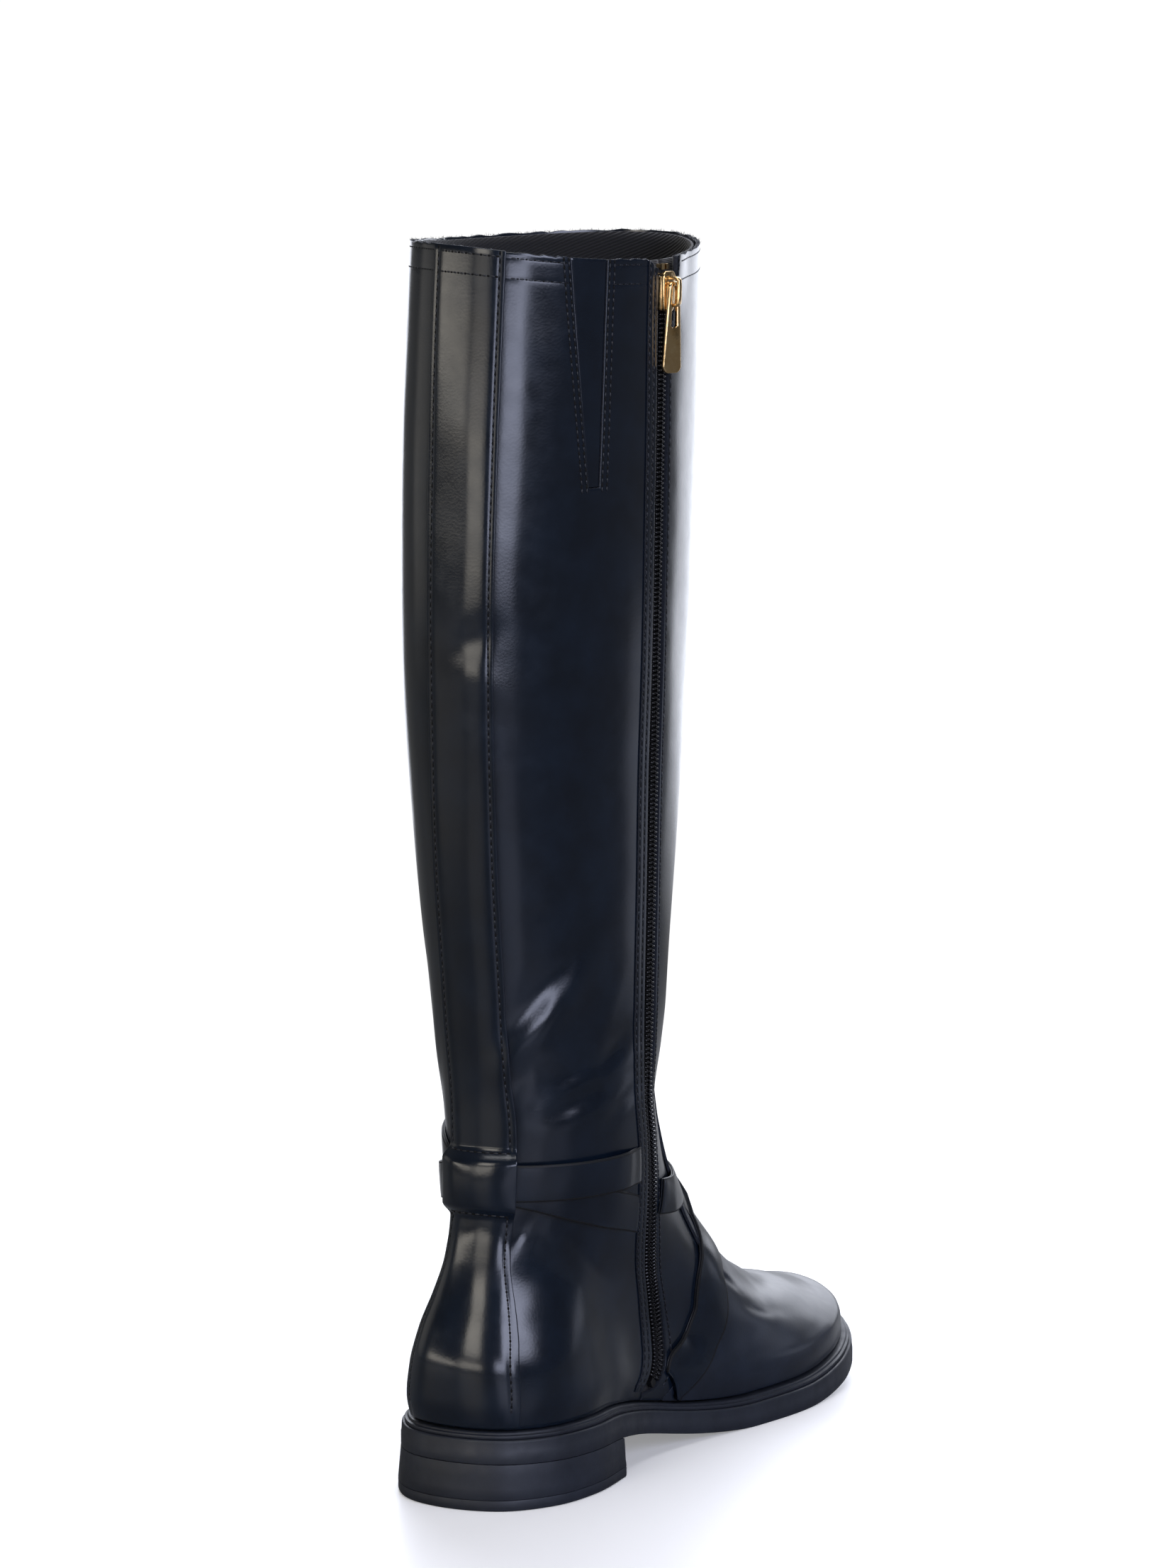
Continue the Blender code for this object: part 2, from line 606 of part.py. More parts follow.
# Stiffeners and lining
def stiff(t, h):
    """How far the lining is pushed in by the heel counter and the toe puff."""
    t = np.asarray(t, float) % 360
    back = np.minimum(t, 360 - t)
    heel = ramp(COUNTER_SPAN + 22, COUNTER_SPAN + 8, back) * ramp(COUNTER_TOP + 18, COUNTER_TOP + 6, h)
    toe = ramp(TOE_PUFF_SPAN + 22, TOE_PUFF_SPAN + 8, abs(t - 180)) * ramp(TOE_PUFF_TOP + 18,
            TOE_PUFF_TOP + 6, h)
    return (STIFFENER + GAP) * np.maximum(heel, toe)


counter_rows = [h for h in ROWS if 31 < h < COUNTER_TOP] + [COUNTER_TOP]
counter_t = columns([-COUNTER_SPAN, -68, -58, -47, -36, -24, -12, 0] + INNER_COLUMNS[:-1] + [COUNTER_SPAN],
        counter_rows)
sheet("heel_counter", counter_t, np.array(counter_rows, float)[:, None], STIFF_OUT, STIFFENER, BOARD_MAT)
puff_rows = [h for h in ROWS if 31 < h < TOE_PUFF_TOP] + [TOE_PUFF_TOP]
puff_t = columns([180 - TOE_PUFF_SPAN, 149, 164, 180, 196, 211, 180 + TOE_PUFF_SPAN], puff_rows)
sheet("toe_puff", puff_t, np.array(puff_rows, float)[:, None], STIFF_OUT, STIFFENER, BOARD_MAT)


def lining_front(h):
    return 90 + side_step(h, TAPE_WIDTH + 2.0)


def lining_rear(h):
    return 450 + side_step(h, -TAPE_WIDTH - 2.0)


def a_turn_on(column):
    return lambda h: 360 + (column(h) if callable(column) else column)


def clear_of_tape(low, clear):
    return lambda h: np.maximum(low, lining_front(h) + clear)


LINING_COLUMNS = [lining_front, clear_of_tape(105.5, 3), clear_of_tape(112, 7)] + FRONT_COLUMNS[1:]
LINING_COLUMNS += [257, 264, 270] + OUTER_COLUMNS + [360]
LINING_COLUMNS += [a_turn_on(c) for c in INNER_COLUMNS] + [lining_rear]
foot_rows = [h for h in ROWS if 31 < h < LINING_SPLIT] + [LINING_SPLIT - GAP]
foot_t = columns(LINING_COLUMNS, foot_rows)
foot_h = np.array(foot_rows, float)[:, None]
sheet("foot_lining", foot_t, foot_h, LINING_OUT - stiff(foot_t, foot_h), LINING, LINING_MAT)
leg_rows = [h for h in ROWS if h >= LINING_SPLIT]
sheet("shaft_lining", columns(LINING_COLUMNS, leg_rows), np.array(leg_rows, float)[:, None], LINING_OUT,
        LINING, LINING_MAT)


# Straps: (t, h) along the middle line, from the zip's rear edge round the back and the outer side to the
# front
ANKLE_PATH = [(78.3, 115.2), (50, 113.5), (20, 112), (0, 111.6), (-20, 111), (-40, 109.5), (-90, 108),
              (-140, 110), (-180, 111.5), (-220, 108), (-245, 106), (-262, 105.6)]
INSTEP_PATH = [(77, 101), (50, 105.5), (20, 110.5), (0, 111.8), (-20, 113), (-40, 118.5), (-90, 124),
               (-140, 120.5), (-180, 113), (-205, 104), (-220, 96), (-233, 89), (-243, 81.5), (-251, 70),
               (-257, 59.5), (-261, 48), (-263.3, 41), (-264.6, 34)]


def strap_line(path, step):
    """Evenly spaced (t, h) along a path, with the (t, h) change of one millimetre to its left."""
    k = np.array(path, float)
    fine = np.linspace(0, len(k) - 1, 60 * (len(k) - 1) + 1)
    t = flowing(np.arange(len(k)), k[:, 0], fine)
    h = flowing(np.arange(len(k)), k[:, 1], fine)
    run = np.concatenate([[0], np.cumsum(np.linalg.norm(np.diff(point(t, h), axis=0), axis=1))])
    s = np.linspace(0, run[-1], int(run[-1] / step) + 1)
    t, h = np.interp(s, run, t), np.interp(s, run, h)
    along_t, along_h = slopes(t, h)
    ahead = along_t * np.gradient(t)[:, None] + along_h * np.gradient(h)[:, None]
    n = np.cross(along_t, along_h)
    left = np.cross(n, ahead)
    left /= np.linalg.norm(left, axis=1)[:, None]
    a = (along_t * along_t).sum(1)
    b = (along_t * along_h).sum(1)
    c = (along_h * along_h).sum(1)
    p, q = (along_t * left).sum(1), (along_h * left).sum(1)
    det = a * c - b * b
    return s, t, h, (c * p - b * q) / det, (a * q - b * p) / det


def eased_lift(s, need, reach=3.0, blur=6.0):
    """Smooth height of a strap over what lies under it, never below the need."""
    wide = np.array([need[abs(s - x) <= reach + blur].max() for x in s])
    return np.array([wide[abs(s - x) <= blur].mean() for x in s])


def under_strap(t, h, dt, dh, width):
    across = np.linspace(-0.55, 0.55, 5) * width[:, None]
    tt, hh = t[:, None] + across * dt[:, None], h[:, None] + across * dh[:, None]
    turn = tt % 360
    top = np.maximum.reduce([vamp_top(turn - 8), vamp_top(turn), vamp_top(turn + 8)])
    on_vamp = (hh <= top + 5) & (turn > 94) & (turn < 266)
    cover = np.maximum.reduce([vamp_cover(turn - 4, hh), vamp_cover(turn, hh), vamp_cover(turn + 4, hh)])
    return np.where(on_vamp, cover * (1 + OVERLAY_GAP / VAMP_LEATHER), 0.0).max(1)


def strap(name, line, lift, width):
    s, t, h, dt, dh = line
    across = np.array([0.5, 0.0, -0.5]) * width[:, None]
    tt, hh = t[:, None] + across * dt[:, None], h[:, None] + across * dh[:, None]
    return sheet(name, tt, np.maximum(hh, 28.5), (lift + STRAP_LEATHER)[:, None], STRAP_LEATHER,
            LEATHER_MAT)


ankle = strap_line(ANKLE_PATH, STRAP_STEP)
instep = strap_line(INSTEP_PATH, STRAP_STEP)
ankle_width = np.full_like(ankle[0], STRAP_WIDTH)
broad = INSTEP_STRAP_WIDTH + (INSTEP_STRAP_BROAD - INSTEP_STRAP_WIDTH) * ramp(-170, -225, instep[1])
instep_width = broad + (INSTEP_STRAP_END - INSTEP_STRAP_BROAD) * ramp(-242, -262, instep[1])
ankle_at, instep_at = point(ankle[1], ankle[2]), point(instep[1], instep[2])
apart = np.linalg.norm(ankle_at[:, None] - instep_at[None], axis=-1)
meet = 0.5 * (STRAP_WIDTH + instep_width) + 0.6
# The ankle strap lies over the instep strap at the back, and under it at the front.
at_back = ((apart < meet) & (instep[1] > -100)).any(1) & (ankle[1] > -100)
at_front = (apart < meet).any(0) & (instep[1] < -120)
ankle_need = under_strap(*ankle[1:], ankle_width) + np.where(at_back, STRAP_LEATHER + STRAP_GAP, 0.0)
ankle_lift = eased_lift(ankle[0], ankle_need) + OVERLAY_GAP
instep_need = under_strap(*instep[1:], instep_width)
ankle_top = np.where(apart < meet, (ankle_lift + STRAP_LEATHER)[:, None], 0.0).max(0)
instep_need = np.where(at_front, np.maximum(ankle_top + STRAP_GAP - OVERLAY_GAP, instep_need), instep_need)
instep_lift = eased_lift(instep[0], instep_need) + OVERLAY_GAP
strap("ankle_strap", ankle, ankle_lift, ankle_width)
strap("instep_strap", instep, instep_lift, instep_width)


# Facing sewn along the zip's rear edge; the straps' rear ends butt against it
facing_rows = [h for h in ROWS if SLOT_END < h]
facing_t = columns([facing_rear, slot_rear], facing_rows)
sheet("zip_facing", facing_t, np.array(facing_rows, float)[:, None], OVERLAY_GAP + FACING_LEATHER,
      FACING_LEATHER, LEATHER_MAT)


# Back strip, which lifts off to form the keeper that both straps run through
def strip_half(h):
    keys = [(27.6, 24), (57, 24), (85, 20), (113, 20), (up(0.075), 19), (up(0.48), 16.5), (SHAFT_HEIGHT, 17.5)]
    return steady([k[0] for k in keys], [k[1] for k in keys], h)


keeper_out = OVERLAY_GAP + 2 * STRAP_LEATHER + STRAP_GAP + KEEPER_SLACK + STRIP_LEATHER


def strip_out(h):
    lift = ramp(KEEPER_BOTTOM - KEEPER_EASE, KEEPER_BOTTOM, h) * ramp(KEEPER_TOP + KEEPER_EASE, KEEPER_TOP, h)
    flush = OVERLAY_GAP + STRIP_LEATHER
    return flush + (keeper_out - flush) * lift


ease = KEEPER_EASE * np.array([0, 0.35, 0.65, 1])
keeper_rows = list(KEEPER_BOTTOM - ease[::-1]) + list(np.linspace(KEEPER_BOTTOM, KEEPER_TOP, 5)[1:-1])
keeper_rows += list(KEEPER_TOP + ease)
strip_rows = [h for h in ROWS if 31 < h < keeper_rows[0] - 3] + keeper_rows
strip_rows += [h for h in ROWS if keeper_rows[-1] + 3 < h < SHAFT_HEIGHT]
strip_rows = np.array([SECTIONS[0][0] + 1.4] + strip_rows + [SHAFT_HEIGHT - 0.2], float)
strip_t = strip_half(strip_rows)[:, None] * np.array([-3, -2, -1, 0, 1, 2, 3])[None] / 3
sheet("back_strip", strip_t, strip_rows[:, None], strip_out(strip_rows)[:, None], STRIP_LEATHER,
        LEATHER_MAT)


# Zip
tape_rows = [h for h in ROWS if SLOT_END < h < SHAFT_HEIGHT] + [SHAFT_HEIGHT - 1.0]
for side, sign in (("rear", -1), ("front", 1)):
    edges = [0.9, 5.0, TAPE_WIDTH]
    tape_t = columns([lambda h, e=e, k=sign: 90 + side_step(h, k * e) for e in edges], tape_rows)
    sheet(f"zip_tape_{side}", tape_t if sign > 0 else tape_t[:, ::-1], np.array(tape_rows, float)[:, None],
          TAPE_OUT, TAPE_THICKNESS, NYLON_MAT)


def zip_frame(h):
    """Point of the zip's line with its directions: up the zip, out of the boot and to the front."""
    h = np.atleast_1d(np.asarray(h, float))
    at = point(np.full_like(h, 90.0), h)
    along_t, along_h = slopes(np.full_like(h, 90.0), h)
    up = along_h / np.linalg.norm(along_h, axis=1)[:, None]
    out = np.cross(along_t, along_h)
    out /= np.linalg.norm(out, axis=1)[:, None]
    return at, up, out, np.cross(up, out)


def bar_on_zip(name_bm, heights, low, high, near_side, far_side):
    """Adds a bar that follows the zip's line, between two distances outwards and two across."""
    at, up, out, across = zip_frame(heights)
    loops = []
    for i in range(len(at)):
        corners = ((near_side, low), (far_side, low), (far_side, high), (near_side, high))
        loops.append([name_bm.verts.new(at[i] + across[i] * a + out[i] * b) for a, b in corners])
    for a, b in zip(loops, loops[1:]):
        for k in range(4):
            name_bm.faces.new((a[k], a[(k + 1) % 4], b[(k + 1) % 4], b[k]))
    name_bm.faces.new(loops[0])
    name_bm.faces.new(loops[-1])


coil_rows = [COIL_BOTTOM, 38.5, 41.5, 45, 49, 54, 60, 67, 75, 84, 93, 103, 113, 123, up(0.0), up(0.05),
             COIL_TOP]
coil_high = COIL_LOW + COIL_DEPTH
for side, sign in (("rear", -1), ("front", 1)):
    bm = bmesh.new()
    bar_on_zip(bm, coil_rows, COIL_LOW, coil_high, sign * COIL_INNER, sign * (COIL_INNER + COIL_WIDTH))
    to_object(f"zip_coil_{side}", bm, NYLON_MAT)
stop_at = COIL_TOP + GAP
for side, sign in (("rear", -1), ("front", 1)):
    bm = bmesh.new()
    bar_on_zip(bm, [stop_at, stop_at + STOP_LENGTH], COIL_LOW, coil_high, sign * COIL_INNER,
            sign * (COIL_INNER + COIL_WIDTH))
    to_object(f"zip_top_stop_{side}", bm, GOLD_MAT)
bm = bmesh.new()
bar_on_zip(bm, [COIL_BOTTOM - GAP - STOP_LENGTH, COIL_BOTTOM - GAP], COIL_LOW, coil_high, -COIL_INNER - 1,
        COIL_INNER + 1)
to_object("zip_bottom_stop", bm, GOLD_MAT)

zip_at, zip_up, zip_out, zip_across = (Vector(v[0]) for v in zip_frame(SLIDER_CENTRE))
ZIP_MATRIX = Matrix((zip_across, zip_out, zip_up)).transposed()


def prism(name, outline, low, high, axis, mat, where=None):
    """Extrudes an outline of (across, out, up) plane points along one of those axes, placed at the slider."""
    bm = bmesh.new()
    ends = []
    for w in (low, high):
        ring = []
        for a, b in outline:
            local = Vector({"up": (a, b, w), "across": (w, b, a), "out": (a, w, b)}[axis])
            ring.append(bm.verts.new(zip_at + ZIP_MATRIX @ local))
        ends.append(ring)
    bm.faces.new(ends[0])
    bm.faces.new(ends[1])
    for i in range(len(outline)):
        j = (i + 1) % len(outline)
        bm.faces.new((ends[0][i], ends[0][j], ends[1][j], ends[1][i]))
    return to_object(name, bm, mat, where)


top_low = coil_high + SLIDER_CLEARANCE
top_high = top_low + SLIDER_PLATE
base_high = TAPE_OUT - TAPE_THICKNESS - SLIDER_CLEARANCE
base_low = base_high - SLIDER_PLATE
flange_low = TAPE_OUT + GAP + 0.1
flange_in = SLIDER_HALF - SLIDER_FLANGE
half_profile = [(SLIDER_NECK_HALF, base_high), (SLIDER_HALF - 0.3, base_high), (SLIDER_HALF - 0.3,
        base_low)]
upper_profile = [(SLIDER_HALF, top_high), (SLIDER_HALF, flange_low), (flange_in, flange_low), (flange_in,
        top_low),
                 (SLIDER_NECK_HALF, top_low)]
right = upper_profile + half_profile
profile = right + [(-a, b) for a, b in reversed(right)]
slider = prism("zip_slider", profile, -SLIDER_LENGTH / 2, SLIDER_LENGTH / 2, "up", GOLD_MAT)
pivot_out = top_high + 0.7 + PULL_THICKNESS / 2
swing = math.hypot(PULL_BAR / 2, PULL_THICKNESS / 2)
arch_in = pivot_out + swing + GAP
arch_out = arch_in + BRIDGE_BAR
reach = BRIDGE_LENGTH / 2
leg = BRIDGE_BAR
bridge = [(-reach, top_high - 0.6), (-reach, arch_in), (-reach + leg, arch_out), (reach - leg, arch_out),
        (reach, arch_in),
          (reach, top_high - 0.6), (reach - leg, top_high - 0.6), (reach - leg, arch_in), (-reach + leg,
          arch_in),
          (-reach + leg, top_high - 0.6)]
bridge_bar = cutter(prism("slider_bridge", bridge, -BRIDGE_HALF, BRIDGE_HALF, "across", GOLD_MAT, cutters))
boolean(slider, bridge_bar, "UNION")

pivot_up = reach - leg - swing - GAP
bar_top = pivot_up + PULL_BAR / 2
slot_half = BRIDGE_HALF + PULL_SLOT_CLEARANCE
half = PULL_WIDTH / 2
bottom = bar_top - PULL_LENGTH
rounding = [(half * math.cos(math.radians(a)),
        bottom + half - half * math.sin(math.radians(a))) for a in range(0, 181, 15)]
shoulder = 1.6
pull_outline = [(half, bar_top - shoulder)] + rounding + [(-half, bar_top - shoulder), (-half + shoulder,
        bar_top),
                                                         (half - shoulder, bar_top)]
pull = prism("zip_pull", pull_outline, pivot_out - PULL_THICKNESS / 2, pivot_out + PULL_THICKNESS / 2,
        "out", GOLD_MAT)
slot_top = pivot_up - PULL_BAR / 2
slot = [(slot_half, slot_top), (slot_half, slot_top - PULL_SLOT_LENGTH), (-slot_half,
        slot_top - PULL_SLOT_LENGTH),
        (-slot_half, slot_top)]
pull_slot = cutter(prism("pull_slot", slot, pivot_out - 3, pivot_out + 3, "out", GOLD_MAT, cutters))
boolean(pull, pull_slot, "DIFFERENCE")

# The flap behind the zip, sewn to the lining at its rear edge
guard_rows = [h for h in ROWS if h > 110 and h < SHAFT_HEIGHT] + [SHAFT_HEIGHT - 4]
guard_mm = [-27.0, -17.0, -9.0, 0.0, 9.0]
guard_deep = base_low - 0.9
guard_near = LINING_OUT - LINING - LINING_GAP
guard_t = columns([lambda h, e=e: 90 + side_step(h, e) for e in guard_mm], guard_rows)
guard_d = np.array([guard_near, guard_near, guard_deep, guard_deep, guard_deep])
sheet("zip_guard", guard_t, np.array(guard_rows, float)[:, None], guard_d[None], GUARD_THICKNESS,
        LINING_MAT)

# The slider travels along the zip, and the pull swings on the slider's bridge
pull_pivot = zip_at + ZIP_MATRIX @ Vector((0, pivot_out, pivot_up))
for obj, at in ((slider, zip_at), (pull, pull_pivot)):
    obj.data.transform(Matrix.Translation(-at * MM))
    obj.location = at * MM
print("slider travel direction", tuple(round(v, 5) for v in zip_up))
print("pull pivot m", tuple(round(v * MM, 6) for v in pull_pivot), "axis", tuple(round(-v,
        5) for v in zip_across))
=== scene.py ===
import bpy
import bmesh
import math
import numpy as np
from mathutils import Matrix, Vector


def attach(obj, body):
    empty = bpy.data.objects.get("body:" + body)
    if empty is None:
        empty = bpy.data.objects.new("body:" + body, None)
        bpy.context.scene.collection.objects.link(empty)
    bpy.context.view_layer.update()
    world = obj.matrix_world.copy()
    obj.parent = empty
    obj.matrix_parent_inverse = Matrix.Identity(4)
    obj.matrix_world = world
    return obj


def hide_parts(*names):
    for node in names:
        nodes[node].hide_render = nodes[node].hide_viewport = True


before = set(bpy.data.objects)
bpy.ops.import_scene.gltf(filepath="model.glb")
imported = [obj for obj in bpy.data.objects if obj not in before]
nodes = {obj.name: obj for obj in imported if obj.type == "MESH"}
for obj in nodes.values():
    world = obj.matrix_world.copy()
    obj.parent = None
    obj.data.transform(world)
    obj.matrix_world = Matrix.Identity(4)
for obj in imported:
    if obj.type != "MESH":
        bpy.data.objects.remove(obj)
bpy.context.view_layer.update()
mm = 0.001
print("frame loaded,", len(nodes), "solids")

# ---- form of the boot, the same as the solids: t runs round the leg in degrees, h is the height at the back, mm
last = {
    "inner": [(0, -33), (18, -28.5), (30.5, -13), (35, 7), (33.5, 33), (31, 61), (35.5, 92), (43.5, 121),
              (48.3, 148), (48.5, 172), (45.8, 191), (40.5, 205.7), (31.5, 218), (20, 226)],
    "outer": [(7.5, 229.5), (-5.5, 227), (-18, 219.5), (-29, 205.7), (-38, 187), (-43.5, 166), (-46, 144),
              (-44, 118), (-39, 90), (-35.5, 61), (-34.5, 33), (-35, 7), (-30.5, -13), (-18, -28.5)],
    "heelBack": 16.5, "heelBreast": 14.5, "breastY": 33.0, "ballStart": 120.0, "ballEnd": 150.0,
    "toeTip": 229.5, "toeSpring": 13.0,
}
shaft = {
    "height": 428.0, "ankle": 135.0, "scallop": 1.5, "rise": 2.0, "backRise": 1.0, "riseZone": 60.0,
    "pinch": [(27.6, 0.0), (88, 0.0), (104, 0.12), (118, 0.19), (128, 0.19), (150, 0.04), (165, 0.0), (428, 0.0)],
    # height, y of back, drop of front, y of front, outer half width, share of sole outline, its inset
    "sections": [
        (27.6, -29.0, -3.5, 225.3, 31.0, 1.00, 4.2), (36.0, -30.8, -4.5, 221.5, 31.0, 1.00, 3.0),
        (47.0, -30.5, -12.5, 210.2, 31.5, 0.93, 4.0), (60.0, -27.0, -21.0, 192.5, 31.3, 0.78, 6.0),
        (72.0, -21.5, -26.0, 169.5, 29.7, 0.55, 8.0), (85.0, -17.5, -27.5, 144.5, 27.5, 0.30, 10.0),
        (98.0, -15.2, -22.0, 119.0, 27.3, 0.12, 10.0), (113.0, -14.8, -10.0, 96.2, 29.0, 0.03, 10.0),
        (135.0, -14.8, 0.0, 83.0, 30.9, 0.0, 10.0), (168.1, -17.0, 0.0, 91.0, 36.6, 0.0, 10.0),
        (229.9, -21.8, 0.0, 104.2, 44.0, 0.0, 10.0), (300.0, -23.5, 0.0, 114.5, 48.9, 0.0, 10.0),
        (365.0, -20.8, 0.0, 121.0, 50.0, 0.0, 10.0), (428.0, -15.7, 0.0, 122.5, 48.0, 0.0, 10.0)],
    "zipX": [(27.6, 27.0), (36, 28.0), (47, 29.7), (60, 31.2), (72, 32.3), (85, 33.3), (98, 34.5),
             (113, 35.6), (135, 36.5), (428, 39.0)],
    "zipY": [(20, 57.0), (29, 59.0), (31, 61.2), (34, 64.2), (38, 67.3), (44, 69.8), (50, 70.9), (58, 71.0),
             (66, 69.5), (75, 66.0), (85, 60.3), (95, 55.5), (105, 52.5), (120, 48.8), (135, 45.0),
             (428, 51.5)],
}
sections = np.array(shaft["sections"], float)
rim = shaft["height"]
foot = sections[0, 0]


def ramp(a, b, x):
    u = np.clip((np.asarray(x, float) - a) / (b - a), 0, 1)
    return u * u * (3 - 2 * u)


def cubic(xk, yk, m, x):
    step = np.diff(xk)
    i = np.clip(np.searchsorted(xk, x, side="right") - 1, 0, len(step) - 1)
    u = (x - xk[i]) / step[i]
    ends = (1 + 2 * u) * (1 - u) ** 2 * yk[i] + u * u * (3 - 2 * u) * yk[i + 1]
    return ends + step[i] * (u * (1 - u) ** 2 * m[i] + u * u * (u - 1) * m[i + 1])


def flowing(xk, yk, x):
    xk, yk, x = (np.asarray(a, float) for a in (xk, yk, x))
    step = np.diff(xk)
    slope = np.diff(yk) / step
    m = np.empty_like(yk)
    m[1:-1] = (slope[:-1] * step[1:] + slope[1:] * step[:-1]) / (step[:-1] + step[1:])
    m[0], m[-1] = slope[0], slope[-1]
    return cubic(xk, yk, m, x)


def steady(xk, yk, x):
    xk, yk, x = (np.asarray(a, float) for a in (xk, yk, x))
    step = np.diff(xk)
    slope = np.diff(yk) / step
    m = np.zeros_like(yk)
    m[0], m[-1] = slope[0], slope[-1]
    for i in range(1, len(xk) - 1):
        if slope[i - 1] * slope[i] > 0:
            a, b = 2 * step[i] + step[i - 1], step[i] + 2 * step[i - 1]
            m[i] = (a + b) / (a / slope[i - 1] + b / slope[i])
    return cubic(xk, yk, m, x)


def through(keys, x):
    return steady([k[0] for k in keys], [k[1] for k in keys], x)


ring = np.array(last["inner"] + last["outer"], float)
ring = np.concatenate([ring[-4:], ring, ring[:5]])
along = np.concatenate([[0], np.cumsum(np.linalg.norm(np.diff(ring, axis=0), axis=1))])
even = np.linspace(along[4], along[-5], 720, endpoint=False)
soleLine = np.stack([flowing(along, ring[:, 0], even), flowing(along, ring[:, 1], even)], -1)
soleWay = np.roll(soleLine, -1, 0) - np.roll(soleLine, 1, 0)
soleIn = np.stack([-soleWay[:, 1], soleWay[:, 0]], -1) / np.linalg.norm(soleWay, axis=1)[:, None]
keptHalves = {}


def outlineHalves(inset):
    if inset not in keptHalves:
        p = soleLine + soleIn * inset
        p = np.roll(p, -int(p[:, 1].argmin()), 0)
        tip = int(p[:, 1].argmax())
        keptHalves[inset] = p[: tip + 1], np.concatenate([p[tip:], p[:1]])[::-1]
    return keptHalves[inset]


def soleZ(y):
    y = np.asarray(y, float)
    rise = (last["heelBack"] - last["heelBreast"]) / (last["breastY"] - last["inner"][0][1])
    heel = last["heelBreast"] + (last["breastY"] - y) * rise
    spring = np.clip((y - last["ballEnd"]) / (last["toeTip"] - last["ballEnd"]), 0, None)
    return heel * (1 - ramp(last["breastY"] - 11, last["ballStart"], y)) + last["toeSpring"] * spring**1.8


def lineOf(keys, h):
    k = np.array(keys, float)
    straight = k[-2, 1] + (k[-1, 1] - k[-2, 1]) * (h - k[-2, 0]) / (k[-1, 0] - k[-2, 0])
    return np.where(h < k[-2, 0], steady(k[:, 0], k[:, 1], h), straight)


def halfTurn(c, yc, back, front):
    return np.where(c > 0, yc - (yc - back) * c, yc - (front - yc) * c)


footY = tuple(outlineHalves(sections[0, 6])[0][[0, -1], 1])


def bootPoint(t, h):
    t, h = np.broadcast_arrays(np.asarray(t, float), np.asarray(h, float))
    shape = t.shape
    t, h = np.radians(t.ravel()), h.ravel()
    back, drop, front, wide, share, inset = (steady(sections[:, 0], sections[:, j], h) for j in range(1, 7))
    yc = lineOf(shaft["zipY"], h)
    s, c = np.sin(t), np.cos(t)
    y = halfTurn(c, yc, back, front)
    x = (1 - share) * np.where(s >= 0, lineOf(shaft["zipX"], h) * (1 + through(shaft["pinch"], h) * c), wide) * s
    level = np.floor(inset * 4)
    for g in np.unique(level[share > 0]):
        on = (level == g) & (share > 0)
        mix = inset[on] * 4 - g
        for k, w in ((g / 4, 1 - mix), ((g + 1) / 4, mix)):
            inner, outer = outlineHalves(float(k))
            yo = halfTurn(c[on], yc[on], inner[0, 1], inner[-1, 1])
            xo = np.where(s[on] >= 0, np.interp(yo, inner[:, 1], inner[:, 0]),
                          np.interp(yo, outer[:, 1], outer[:, 0]))
            x[on] += share[on] * w * xo
    yf = halfTurn(c, yc, *footY)
    ends = soleZ(np.array(footY))
    sag = soleZ(yf) - (ends[0] + (ends[1] - ends[0]) * (yf - footY[0]) / (footY[1] - footY[0]))
    z = h + drop * (y - back) / (front - back) + sag * share
    z = z + shaft["scallop"] * np.cos(2 * t) * ramp(rim - 48, rim, h)
    z = z + (shaft["rise"] + shaft["backRise"] * c) * (1 - s) * ramp(rim - shaft["riseZone"], rim, h)
    return np.stack([x, y, z], -1).reshape(*shape, 3)


def bootSlopes(t, h):
    a, b = np.clip(h - 0.6, foot, rim), np.clip(h + 0.6, foot, rim)
    return (bootPoint(t + 0.6, h) - bootPoint(t - 0.6, h)) / 1.2, (bootPoint(t, b) - bootPoint(t, a)) / (b - a)[..., None]


